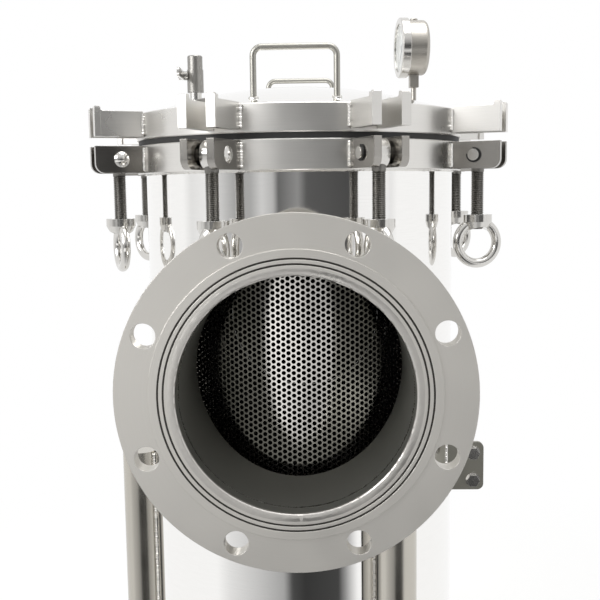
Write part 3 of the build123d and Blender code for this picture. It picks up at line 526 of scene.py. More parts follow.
class Palette:
    """All the finishes of the strainer, built once."""

    def __init__(self) -> None:
        """Builds every material."""
        nozzle = node_box("front_nozzle")[1].x
        # The inner colours start inside the metal, just short of the walls' inner faces.
        inner = vessel_radius() - 3.9 * MM
        bore = nozzle - 1.9 * MM
        # 304 stainless sheet, polished to a mirror. The eye sees clear reflections with a slow
        # waviness, and only faint polishing lines. Inside, the sheet is duller and darkened as
        # painted shade.
        self.mirror = Metal(
            "polished_stainless_sheet", "#FAF9F7", 0.07, smudge=0.025, grain=Grain.AROUND,
            grain_pitch=0.5 * MM, grain_depth=0.0006 * MM, wave_pitch=110 * MM,
            wave_depth=0.12 * MM, inner_colour="#777773", inner_radius=inner,
        ).material()
        # The dished heads have the same polish.
        self.head = Metal(
            "polished_dished_head", "#F6F5F3", 0.08, smudge=0.025, grain_pitch=0.5 * MM,
            grain_depth=0.0006 * MM, wave_pitch=90 * MM, wave_depth=0.1 * MM,
        ).material()
        # The nozzle pipe is polished outside and left as rolled and pickled inside, which is dull;
        # its colour inside is darkened as painted shade.
        self.nozzle = Metal(
            "polished_stainless_pipe", "#E6E5E2", 0.12, grain_depth=0.001 * MM,
            inner_colour="#8E8E88", inner_radius=bore, inner_along_nozzle=True,
        ).material()
        # Stainless plate and bar, ground with a belt. Fine level lines spread the highlights. The
        # lines of every ground and turned finish here are drawn coarser than real ones.
        self.satin = Metal(
            "ground_stainless", "#E3E1DD", 0.3, smudge=0.04, grain=Grain.AROUND,
            grain_pitch=0.7 * MM, grain_depth=0.006 * MM, edge=0.5 * MM,
        ).material()
        # Hot-rolled plate of the lower lugs, ground lightly, darker than the rings.
        self.lug = Metal(
            "lightly_ground_plate", "#A6A39E", 0.2, smudge=0.06, grain=Grain.AROUND,
            grain_pitch=0.8 * MM, grain_depth=0.01 * MM, edge=0.7 * MM,
        ).material()
        # Drawn stainless bar with its mill finish, greyer and softer than the ground plate.
        self.drawn = Metal(
            "drawn_stainless_bar", "#A9A7A0", 0.38, smudge=0.04, grain_pitch=0.6 * MM,
            grain_depth=0.01 * MM,
        ).material()
        # Welded stainless tube, belt-ground along its length to a warm grey sheen.
        self.tube = Metal(
            "ground_stainless_tube", "#C4C0B7", 0.22, smudge=0.05, grain_pitch=0.9 * MM,
            grain_depth=0.02 * MM,
        ).material()
        # Stainless forging faced on a lathe. Fine circular tool marks make it soft and grey, and
        # the gasket grooves are darkened with painted shade.
        self.turned = Metal(
            "faced_stainless_groove_shade", "#D9D6D0", 0.46, smudge=0.05, grain=Grain.TURNED,
            grain_pitch=0.9 * MM, grain_depth=0.012 * MM, edge=1.0 * MM, groove_colour="#4A4845",
            groove_reach=nozzle + 21 * MM, groove_face=node_box("rear_flange")[1].y,
        ).material()
        # The pipe weld at the flange's bore, dressed flat by hand. Blotches of bright and dull
        # metal stay where the grinder passed and where it didn't.
        self.dressed = Metal(
            "hand_dressed_weld", "#CCC9C4", 0.38, smudge=0.16, grain_pitch=5.0 * MM,
            grain_depth=0.3 * MM,
        ).material()
        # Forged and tumbled stainless fasteners, bright and a little pitted.
        self.fastener = Metal(
            "tumbled_stainless", "#D9D7D3", 0.16, smudge=0.06, grain_pitch=2.0 * MM,
            grain_depth=0.03 * MM, edge=0.4 * MM,
        ).material()
        # Rolled stainless thread, painted greyer than the forging as the shade between its flanks.
        self.thread = Metal(
            "rolled_thread_painted_shade", "#7E7C78", 0.34, grain_pitch=0.5 * MM,
        ).material()
        # Weld metal as laid, bright silver with frozen ripples.
        self.weld = Metal(
            "bare_weld_metal", "#E4E2DE", 0.22, smudge=0.1, grain_pitch=1.2 * MM,
            grain_depth=0.12 * MM,
        ).material()
        # Cold-rolled perforated sheet, softly bright.
        self.perforated = Metal(
            "rolled_perforated_stainless", "#D6D3CE", 0.2, smudge=0.06, grain_pitch=0.5 * MM,
            grain_depth=0.006 * MM,
        ).material()
        # Drawn stainless case of the gauge, with a soft satin sheen.
        self.case = Metal(
            "brushed_gauge_case", "#B7B3AC", 0.36, grain_pitch=0.6 * MM, grain_depth=0.008 * MM,
            edge=0.3 * MM,
        ).material()
        # Investment-cast stainless valve, blasted and darker than the plate.
        self.cast = Metal(
            "blasted_cast_stainless", "#9C9A96", 0.36, grain_pitch=0.6 * MM, grain_depth=0.03 * MM,
            edge=0.4 * MM,
        ).material()
        # Hot-rolled bracket plate, pickled to a dull dark grey.
        self.bracket = Metal(
            "dull_bracket_plate", "#9A988F", 0.42, grain_pitch=1.5 * MM, grain_depth=0.02 * MM,
            edge=0.5 * MM,
        ).material()
        # Phosphated spring steel, near black with a faint sheen.
        self.spring = Metal("phosphated_spring_steel", "#3A3A3A", 0.4).material()
        # Black EPDM sheet, cut to a ring: matt, with a slight dusty bloom.
        self.rubber = Coating("black_epdm_rubber", "#161616", "#262625", 0.62).material()
        # White enamel on the aluminium dial, smooth with a low gloss.
        self.dial = Coating(
            "white_dial_enamel", "#F2F1EC", "#EAE9E3", 0.35, texture_depth=0.002 * MM,
        ).material()
        # Black printing ink and the black-lacquered pointer.
        self.ink = Coating("black_dial_ink", "#101010", "#181818", 0.45).material()
        # Float glass window.
        self.glass = Glass("clear_gauge_glass").material()


def paint(node: str, material: Material) -> None:
    """Gives a CAD node its finish.

    Args:
        node: Name of the CAD node.
        material: The finish.
    """
    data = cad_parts[node].data
    data.materials.clear()
    data.materials.append(material)
    data.polygons.foreach_set("material_index", [0] * len(data.polygons))
    LOG.info("painted %s with %s", node, material.name)


class Draft:
    """A mesh being drawn, as points and faces."""

    def __init__(self) -> None:
        """Starts with an empty mesh."""
        self.points: list[Vector] = []
        self.faces: list[tuple[int, ...]] = []

    def grid(
        self,
        rows: Sequence[Sequence[Vector]],
        close_rows: bool = False,
        close_columns: bool = False,
    ) -> None:
        """Adds a surface through rows of points.

        Args:
            rows: Rows with the same number of points each.
            close_rows: Joins the last row to the first.
            close_columns: Joins the last point of each row to its first.
        """
        start = len(self.points)
        count, width = len(rows), len(rows[0])
        self.points.extend(point for row in rows for point in row)
        for row in range(count if close_rows else count - 1):
            below = start + row * width
            above = start + (row + 1) % count * width
            for column in range(width if close_columns else width - 1):
                beside = (column + 1) % width
                self.faces.append(
                    (below + column, below + beside, above + beside, above + column)
                )

    def cap(self, row: Sequence[Vector]) -> None:
        """Closes a round end with one face.

        Args:
            row: The points round the end.
        """
        start = len(self.points)
        self.points.extend(row)
        self.faces.append(tuple(range(start, start + len(row))))

    def lathe(
        self, profile: Sequence[tuple[float, float]], place: Matrix, steps: int, closed: bool
    ) -> None:
        """Turns a profile round an axis.

        Args:
            profile: Radius and height of each profile point.
            place: Matrix that puts the axis, +Z, in place.
            steps: Number of steps round the axis.
            closed: Joins the last profile point to the first.
        """
        rows = []
        for radius, height in profile:
            row = []
            for step in range(steps):
                turn = math.tau * step / steps
                spot = Vector((radius * math.cos(turn), radius * math.sin(turn), height))
                row.append(place @ spot)
            rows.append(row)
        self.grid(rows, close_rows=closed, close_columns=True)

    def bead(
        self, path: Sequence[Vector], radius: float, chance: random.Random, closed: bool = False
    ) -> None:
        """Adds a rippled weld bead along a path.

        Args:
            path: Points along the joint, about a quarter of a ripple apart.
            radius: Mean radius of the bead.
            chance: Seeded source of the unevenness.
            closed: Joins the bead's two ends.
        """
        rows = []
        normal = None
        uneven = 1.0
        for index, point in enumerate(path):
            ahead = path[(index + 1) % len(path)] if closed else path[min(index + 1, len(path) - 1)]
            behind = path[index - 1] if closed else path[max(index - 1, 0)]
            tangent = (ahead - behind).normalized()
            if normal is None:
                normal = tangent.orthogonal().normalized()
            normal = (normal - tangent * normal.dot(tangent)).normalized()
            binormal = tangent.cross(normal)
            if index % BEAD_RIPPLE == 0:
                uneven = chance.uniform(*BEAD_UNEVEN)
            phase = index % BEAD_RIPPLE / BEAD_RIPPLE
            swell = radius * uneven * (BEAD_TROUGH + BEAD_CREST * phase)
            if not closed and index in (0, len(path) - 1):
                swell *= 0.5
            row = []
            for side in range(BEAD_SIDES):
                turn = math.tau * side / BEAD_SIDES
                way = normal * math.cos(turn) + binormal * math.sin(turn)
                row.append(point + way * swell)
            rows.append(row)
        self.grid(rows, close_rows=closed, close_columns=True)
        if not closed:
            self.cap(list(reversed(rows[0])))
            self.cap(rows[-1])

    def mesh(self, name: str, smooth: bool = True) -> bpy.types.Mesh:
        """Makes the mesh.

        Args:
            name: Name of the mesh.
            smooth: Shades it smooth, with sharp edges over the sharp angle.

        Returns:
            The mesh.
        """
        data = bpy.data.meshes.new(name)
        data.from_pydata([tuple(point) for point in self.points], [], self.faces)
        data.update()
        fair = bmesh.new()
        fair.from_mesh(data)
        bmesh.ops.remove_doubles(fair, verts=fair.verts, dist=1e-7)
        bmesh.ops.recalc_face_normals(fair, faces=fair.faces)
        fair.to_mesh(data)
        fair.free()
        if smooth:
            data.polygons.foreach_set("use_smooth", [True] * len(data.polygons))
            data.set_sharp_from_angle(angle=math.radians(SHARP_ANGLE))
        return data


def add_piece(
    name: str,
    draft: Draft,
    body: str,
    material: Material,
    smooth: bool = True,
) -> bpy.types.Object:
    """Puts a drawn mesh in the scene and lets it ride on its body.

    Args:
        name: Name of the piece.
        draft: The drawn mesh.
        body: The CAD body that it rides on.
        material: The finish.
        smooth: Shades it smooth.

    Returns:
        The piece.
    """
    piece = bpy.data.objects.new(name, draft.mesh(name, smooth))
    bpy.context.scene.collection.objects.link(piece)
    piece.data.materials.append(material)
    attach(piece, body)
    LOG.info("built %s with %d faces", name, len(piece.data.polygons))
    return piece


def lay_beads(
    name: str,
    body: Body,
    palette: Palette,
    seed: int,
    beads: Sequence[tuple[Sequence[Vector], float, bool]],
) -> None:
    """Lays rippled weld beads as one piece.

    Args:
        name: Name of the piece.
        body: The body that it rides on.
        palette: The finishes.
        seed: Seed of the beads' unevenness.
        beads: Path and radius of each bead, and whether its ends meet.
    """
    draft = Draft()
    chance = random.Random(seed)
    for path, radius, closed in beads:
        draft.bead(path, radius, chance, closed)
    add_piece(name, draft, body, palette.weld)


def round_path(radius: float, height: float, step: float) -> list[Vector]:
    """Points round a level circle on the vessel axis.

    Args:
        radius: Radius of the circle.
        height: Its height.
        step: Distance between points.

    Returns:
        The points.
    """
    count = int(math.tau * radius / step) // 4 * 4
    turns = [math.tau * index / count for index in range(count)]
    return [Vector((radius * math.cos(t), radius * math.sin(t), height)) for t in turns]


def straight_path(start: Vector, end: Vector, step: float) -> list[Vector]:
    """Evenly spaced points from start to end."""
    count = max(int((end - start).length / step), 4)
    return [start.lerp(end, index / count) for index in range(count + 1)]


def swing_place(index: int) -> Matrix:
    """The turn that carries a lug built on +X to one swing bolt's azimuth."""
    return Matrix.Rotation(math.radians((index + 0.5) * 360 / SWING_BOLTS - 90), 4, "Z")


@dataclass
class Vessel:
    """The shell with its ends, legs, bracket and drain.

    Attributes:
        palette: The finishes.
        bead_radius: Radius of the structural weld beads.
        bead_step: Distance between bead points, a quarter of a ripple.
        leg_bead_out: How far outside the shell a leg's beads lie, in leg radii.
        leg_bead_side: How far from the leg's middle plane they lie, in leg radii.
        leg_bead_top: How far below the leg's top they end.
    """

    palette: Palette
    bead_radius: float = 2.2 * MM
    bead_step: float = 0.55 * MM
    leg_bead_out: float = 0.16
    leg_bead_side: float = 0.5
    leg_bead_top: float = 2 * MM

    def dress(self) -> None:
        """Finishes the CAD nodes."""
        look = self.palette
        finishes = (
            (look.mirror, ("vessel_shell",)),
            (look.head, ("bottom_head",)),
            (look.satin, ("body_ring", "basket_seat", "drain_coupling")),
            (look.tube, ("left_leg", "right_leg", "rear_leg")),
            (look.drawn, ("foot_plates",)),
            (look.fastener, ("drain_plug", "bracket_bolts")),
            (look.bracket, ("side_bracket",)),
            (look.rubber, ("cover_gasket", "seat_gasket")),
        )
        for material, nodes in finishes:
            for node in nodes:
                paint(node, material)

    def round_weld(self, name: str, radius: float, height: float, share: float, seed: int) -> None:
        """Lays one level bead round the vessel axis.

        Args:
            name: Name of the piece.
            radius: Radius of the joint.
            height: Height of the joint.
            share: Size of the bead, in bead radii.
            seed: Seed of its unevenness.
        """
        path = round_path(radius, height, self.bead_step)
        bead = (path, self.bead_radius * share, True)
        lay_beads(name, Body.HOUSING, self.palette, seed, [bead])

    def leg_welds(self) -> None:
        """Lays a bead down each side of each leg and round its foot."""
        beads = []
        bottom = node_box("vessel_shell")[0].z
        for leg in ("left_leg", "right_leg", "rear_leg"):
            low, high = node_box(leg)
            middle = (low + high) / 2
            leg_radius = (high.x - low.x) / 2
            out = Vector((middle.x, middle.y, 0)).normalized()
            beside = Vector((-out.y, out.x, 0))
            reach = vessel_radius() + leg_radius * self.leg_bead_out
            for side in (-1, 1):
                start = out * reach + beside * (side * leg_radius * self.leg_bead_side)
                start.z = bottom
                end = Vector((start.x, start.y, high.z - self.leg_bead_top))
                path = straight_path(start, end, self.bead_step)
                beads.append((path, self.bead_radius * 1.3, False))
            centre = Vector((middle.x, middle.y, 0))
            foot = [centre + point for point in round_path(leg_radius, low.z, self.bead_step)]
            beads.append((foot, self.bead_radius, True))
        lay_beads("leg_welds", Body.HOUSING, self.palette, 7, beads)

    def bracket_weld(self) -> None:
        """Lays the bead down both faces of the bracket where it meets the shell."""
        low, high = node_box("side_bracket")
        beads = []
        for y in (low.y, high.y):
            x = math.sqrt(vessel_radius() ** 2 - y**2)
            path = straight_path(Vector((x, y, low.z)), Vector((x, y, high.z)), self.bead_step)
            beads.append((path, self.bead_radius * 0.8, False))
        lay_beads("bracket_weld", Body.HOUSING, self.palette, 11, beads)

    def build(self) -> None:
        """Dresses the vessel and lays its welds."""
        self.dress()
        girth = vessel_radius() - self.bead_radius * 0.5
        self.round_weld("ring_weld", vessel_radius(), node_box("body_ring")[0].z, 0.7, 3)
        self.round_weld("head_weld", girth, node_box("vessel_shell")[0].z, 0.9, 5)
        self.leg_welds()
        self.bracket_weld()
        low, high = node_box("drain_coupling")
        self.round_weld("drain_weld", (high.x - low.x) / 2, node_box("bottom_head")[0].z, 1.0, 13)


@dataclass
class FlangedNozzle:
    """A nozzle with its flange.

    Attributes:
        palette: The finishes.
        side: -1 for the front nozzle, 1 for the rear one.
        bead_radius: Radius of the saddle weld.
        bead_step: Distance between bead points, a quarter of a ripple.
        root_steps: Steps round the weld at the flange's bore.
        pipe_wall: Wall of the nozzle pipe.
        dressed_width: How far the dressed weld reaches past the pipe.
        proud: How far the dressed weld stands off the flange's face.
        sunk: How far behind the face its outer edge goes.
        skin: How far it stands off the pipe's inner face.
        wander_steps: Steps between two changes of the wander of its edges.
        wander_shift: Shift of the wander from one row of points to the next.
        wander_inner: Wander of its inner rows and of its surface.
        wander_outer: Wander of its outer rows.
    """

    palette: Palette
    side: int
    bead_radius: float = 2.6 * MM
    bead_step: float = 0.65 * MM
    root_steps: int = 720
    pipe_wall: float = 2 * MM
    dressed_width: float = 5.2 * MM
    proud: float = 0.12 * MM
    sunk: float = 0.1 * MM
    skin: float = 0.05 * MM
    wander_steps: int = 4
    wander_shift: float = 11.25
    wander_inner: float = 0.02 * MM
    wander_outer: float = 0.2 * MM

    @property
    def name(self) -> str:
        """The word that names this nozzle's pieces."""
        return "front" if self.side < 0 else "rear"

    def saddle_weld(self) -> None:
        """Lays the bead where the nozzle goes through the shell."""
        radius = node_box(f"{self.name}_nozzle")[1].x + self.bead_radius * 0.3
        shell = vessel_radius() + self.bead_radius * 0.3
        path = []
        for point in round_path(radius, 0, self.bead_step):
            y = self.side * math.sqrt(shell**2 - point.x**2)
            path.append(Vector((point.x, y, nozzle_axis_z() + point.y)))
        bead = (path, self.bead_radius, True)
        lay_beads(f"{self.name}_saddle_weld", Body.HOUSING, self.palette, 17, [bead])

    def neck_weld(self) -> None:
        """Lays the fillet behind the flange, round the nozzle."""
        low, high = node_box(f"{self.name}_flange")
        back = high.y if self.side < 0 else low.y
        radius = node_box(f"{self.name}_nozzle")[1].x
        turn = Matrix.Translation((0, back, nozzle_axis_z())) @ Matrix.Rotation(math.pi / 2, 4, "X")
        path = [turn @ point for point in round_path(radius, 0, self.bead_step)]
        bead = (path, self.bead_radius, True)
        lay_beads(f"{self.name}_neck_weld", Body.HOUSING, self.palette, 19, [bead])

    def root_weld(self) -> None:
        """Lays the flat band of weld that joins the pipe's end to the flange's bore.

        It was dressed by hand, so its edges wander a little round the bore.
        """
        pipe_low, pipe_high = node_box(f"{self.name}_nozzle")
        flange_low, flange_high = node_box(f"{self.name}_flange")
        face = flange_low.y if self.side < 0 else flange_high.y
        pipe_end = pipe_low.y if self.side < 0 else pipe_high.y
        inner = pipe_high.x - self.pipe_wall
        outer = pipe_high.x + self.dressed_width
        depth = abs(face - pipe_end)
        chance = random.Random(23)
        tone = [chance.uniform(-1, 1) for _ in range(self.root_steps // self.wander_steps)]
        # Radius and distance behind the face, from inside the pipe outwards.
        profile = (
            (inner - self.skin, depth + 1.2 * MM),
            (inner - self.skin, 1.1 * MM),
            (inner + 0.8 * MM, self.sunk),
            (inner + 1.6 * MM, -self.proud),
            (outer - 0.6 * MM, -self.proud),
            (outer, self.sunk),
        )
        rows = []
        for row_index, (radius, back) in enumerate(profile):
            edge = self.wander_outer if row_index > 2 else self.wander_inner
            row = []
            for step in range(self.root_steps):
                turn = math.tau * step / self.root_steps
                place = step / self.wander_steps + row_index * self.wander_shift
                first = tone[int(place) % len(tone)]
                second = tone[(int(place) + 1) % len(tone)]
                wander = first + (second - first) * (place % 1)
                r = radius + wander * edge
                y = face - self.side * (back + wander * self.wander_inner)
                row.append(Vector((r * math.cos(turn), y, nozzle_axis_z() + r * math.sin(turn))))
            rows.append(row)
        draft = Draft()
        draft.grid(rows, close_columns=True)
        name = f"{self.name}_root_weld"
        add_piece(name, draft, Body.HOUSING, self.palette.dressed)

    def build(self) -> None:
        """Dresses the nozzle and lays its welds."""
        paint(f"{self.name}_nozzle", self.palette.nozzle)
        # The flange's finish has painted shade down in its gasket grooves.
        paint(f"{self.name}_flange", self.palette.turned)
        self.saddle_weld()
        self.neck_weld()
        self.root_weld()


@dataclass
class Closure:
    """The lugs, pins, swing bolts and eye nuts.

    Attributes:
        palette: The finishes.
        lug_gap: Clear width between the two plates of a lug.
        lug_plate: Thickness of a lug plate.
        bead_radius: Radius of the lug welds.
        bead_step: Distance between bead points.
        bolt_radius: Radius over the thread.
        thread_pitch: Pitch of the thread.
        thread_depth: Depth of the thread.
        eye_radius: Outer radius of the bolt's eye.
        eye_half: Half the width of the eye.
        eye_chamfer: Chamfer on the eye's edges.
        eye_bore: Radius of the eye's bore.
        reach: Length of the bolt from the pin to its end.
        thread_steps: Points round the thread.
        neck_sink: How far the shank's neck goes into the eye.
        neck_length: Length of the neck and the plain shank.
        neck_flare: How much wider than the thread the neck starts.
        end_chamfer: Chamfer on the bolt's end.
    """

    palette: Palette
    lug_gap: float = 21 * MM
    lug_plate: float = 8 * MM
    bead_radius: float = 2.9 * MM
    bead_step: float = 0.7 * MM
    bolt_radius: float = 7 * MM
    thread_pitch: float = 2 * MM
    thread_depth: float = 1.1 * MM
    eye_radius: float = 14 * MM
    eye_half: float = 8.5 * MM
    eye_chamfer: float = 2.5 * MM
    eye_bore: float = 6.1 * MM
    reach: float = 80 * MM
    thread_steps: int = 24
    neck_sink: float = 2.5 * MM
    neck_length: float = 6 * MM
    neck_flare: float = 1.2 * MM
    end_chamfer: float = 1.5 * MM

    def lug_welds(self, ring: str, lugs: str, body: Body) -> None:
        """Lays an upright bead on the outer face of every lug plate.

        Args:
            ring: The ring's CAD node.
            lugs: The lugs' CAD node.
            body: The body that they ride on.
        """
        ring_low, ring_high = node_box(ring)
        lug_low, lug_high = node_box(lugs)
        radius = ring_high.x
        bottom = max(ring_low.z, lug_low.z) + 1.5 * MM
        top = min(ring_high.z, lug_high.z) - 1.5 * MM
        offset = self.lug_gap / 2 + self.lug_plate + self.bead_radius * 0.25
        x = math.sqrt((radius + self.bead_radius * 0.25) ** 2 - offset**2)
        beads = []
        for index in range(SWING_BOLTS):
            for side in (-1, 1):
                start, end = (
                    swing_place(index) @ Vector((x, side * offset, z)) for z in (bottom, top)
                )
                beads.append((straight_path(start, end, self.bead_step), self.bead_radius, False))
        lay_beads(f"{lugs}_welds", body, self.palette, 29, beads)

    def eye(self, place: Matrix) -> Draft:
        """Draws a bolt's eye.

        Args:
            place: Matrix that puts the bolt in place.

        Returns:
            The drawn eye.
        """
        half, edge = self.eye_half, self.eye_chamfer
        profile = (
            (self.eye_bore, -half),
            (self.eye_radius - edge, -half),
            (self.eye_radius, edge - half),
            (self.eye_radius, half - edge),
            (self.eye_radius - edge, half),
            (self.eye_bore, half),
        )
        draft = Draft()
        turn = place @ Matrix.Rotation(math.pi / 2, 4, "X")
        draft.lathe(profile, turn, 2 * self.thread_steps, closed=True)
        return draft

    def shank(self, place: Matrix) -> Draft:
        """Draws a bolt's neck, plain shank, thread and end.

        Args:
            place: Matrix that puts the bolt in place.

        Returns:
            The drawn shank.
        """
        rise = self.thread_pitch / 6
        top = self.neck_sink - self.eye_radius
        plain = top - self.neck_length
        neck = self.bolt_radius + self.neck_flare
        rows = [
            self.level_row(place, neck, top),
            self.level_row(place, self.bolt_radius, top - self.neck_length / 2),
            self.level_row(place, self.bolt_radius, plain),
        ]
        for index in range(int((self.reach - self.end_chamfer + plain) / rise)):
            z = plain - rise * (index + 1)
            row = []
            for step in range(self.thread_steps):
                share = step / self.thread_steps
                phase = (z / self.thread_pitch + share) % 1.0
                radius = self.bolt_radius - self.thread_depth * (1 - abs(2 * phase - 1))
                turn = math.tau * share
                row.append(place @ Vector((radius * math.cos(turn), radius * math.sin(turn), z)))
            rows.append(row)
        rows.append(self.level_row(place, self.bolt_radius - self.end_chamfer, -self.reach))
        draft = Draft()
        draft.grid(rows, close_columns=True)
        draft.cap(rows[0])
        draft.cap(rows[-1])
        return draft

    def bolt(self, index: int) -> None:
        """Builds one swing bolt with its thread, in place of the plain CAD one.

        Args:
            index: Number of the bolt from 0.
        """
        drop = Matrix.Translation((self.pin_circle(), 0, box_centre("clevis_pins").z))
        place = swing_place(index) @ drop
        number = index + 1
        for name, draft, finish in (
            ("swing_eye", self.eye(place), self.palette.fastener),
            # The thread takes the finish that has painted shade between its flanks.
            ("swing_thread", self.shank(place), self.palette.thread),
        ):
            body = f"swing_bolt_{number}"
            piece = add_piece(f"{name}_{number}", draft, body, finish)
            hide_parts(f"eye_bolt_{number}")

    def level_row(self, place: Matrix, radius: float, z: float) -> list[Vector]:
        """Points round the bolt at one height."""
        turns = [math.tau * step / self.thread_steps for step in range(self.thread_steps)]
        return [place @ Vector((radius * math.cos(t), radius * math.sin(t), z)) for t in turns]

    @staticmethod
    def pin_circle() -> float:
        """The radius from the vessel axis to the pins, from where the first bolt hangs."""
        middle = box_centre("eye_bolt_1")
        return math.hypot(middle.x, middle.y)

    def build(self) -> None:
        """Dresses the lugs and nuts, lays the welds and builds the bolts."""
        paint("body_lugs", self.palette.lug)
        paint("cover_lugs", self.palette.satin)
        paint("clevis_pins", self.palette.fastener)
        paint("retaining_rings", self.palette.spring)
        self.lug_welds("body_ring", "body_lugs", Body.HOUSING)
        self.lug_welds("cover_ring", "cover_lugs", Body.COVER)
        for index in range(SWING_BOLTS):
            paint(f"eye_nut_{index + 1}", self.palette.fastener)
            self.bolt(index)


@dataclass
class Cover:
    """The domed cover with its ring, handles and the fittings' welds.

    Attributes:
        palette: The finishes.
        bead_radius: Radius of the beads round the handles' feet and the fittings.
        bead_step: Distance between bead points.
        gauge_pipe_radius: Radius of the gauge's pipe where it goes into the cover.
    """

    palette: Palette
    bead_radius: float = 1.6 * MM
    bead_step: float = 0.45 * MM
    gauge_pipe_radius: float = 3 * MM

    def crown(self, x: float, y: float) -> float:
        """The height of the domed head at a place.

        Args:
            x: Place across.
            y: Place along.

        Returns:
            The height of the outer surface there.
        """
        rim = node_box("cover_ring")[1].z
        top = node_box("cover_head")[1].z
        rise = top - rim
        crown = (vessel_radius() ** 2 + rise**2) / (2 * rise)
        return top - crown + math.sqrt(crown**2 - x**2 - y**2)

    def foot_welds(self) -> None:
        """Lays a small bead round each handle foot, the vent nipple and the gauge pipe."""
        feet = []
        for handle in ("front_handle", "rear_handle"):
            low, high = node_box(handle)
            rod = (high.y - low.y) / 2
            for x in (low.x + rod, high.x - rod):
                feet.append((x, (low.y + high.y) / 2, rod))
        low, high = node_box("vent_nipple")
        feet.append(((low.x + high.x) / 2, 0.0, (high.x - low.x) / 2))
        feet.append((box_centre("gauge_stem").x, 0.0, self.gauge_pipe_radius))
        beads = []
        for x, y, radius in feet:
            path = []
            for point in round_path(radius + self.bead_radius * 0.3, 0, self.bead_step):
                place = Vector((x + point.x, y + point.y, 0))
                place.z = self.crown(place.x, place.y) + self.bead_radius * 0.2
                path.append(place)
            beads.append((path, self.bead_radius, True))
        lay_beads("fitting_welds", Body.COVER, self.palette, 31, beads)

    def seam_weld(self) -> None:
        """Lays the bead between the domed head and the cover ring."""
        height = node_box("cover_ring")[1].z
        path = round_path(vessel_radius(), height, self.bead_step * 1.2)
        bead = (path, self.bead_radius * 0.8, True)
        lay_beads("cover_seam_weld", Body.COVER, self.palette, 37, [bead])

    def build(self) -> None:
        """Dresses the cover and lays its welds."""
        paint("cover_ring", self.palette.satin)
        paint("cover_head", self.palette.head)
        paint("front_handle", self.palette.drawn)
        paint("rear_handle", self.palette.drawn)
        self.foot_welds()
        self.seam_weld()


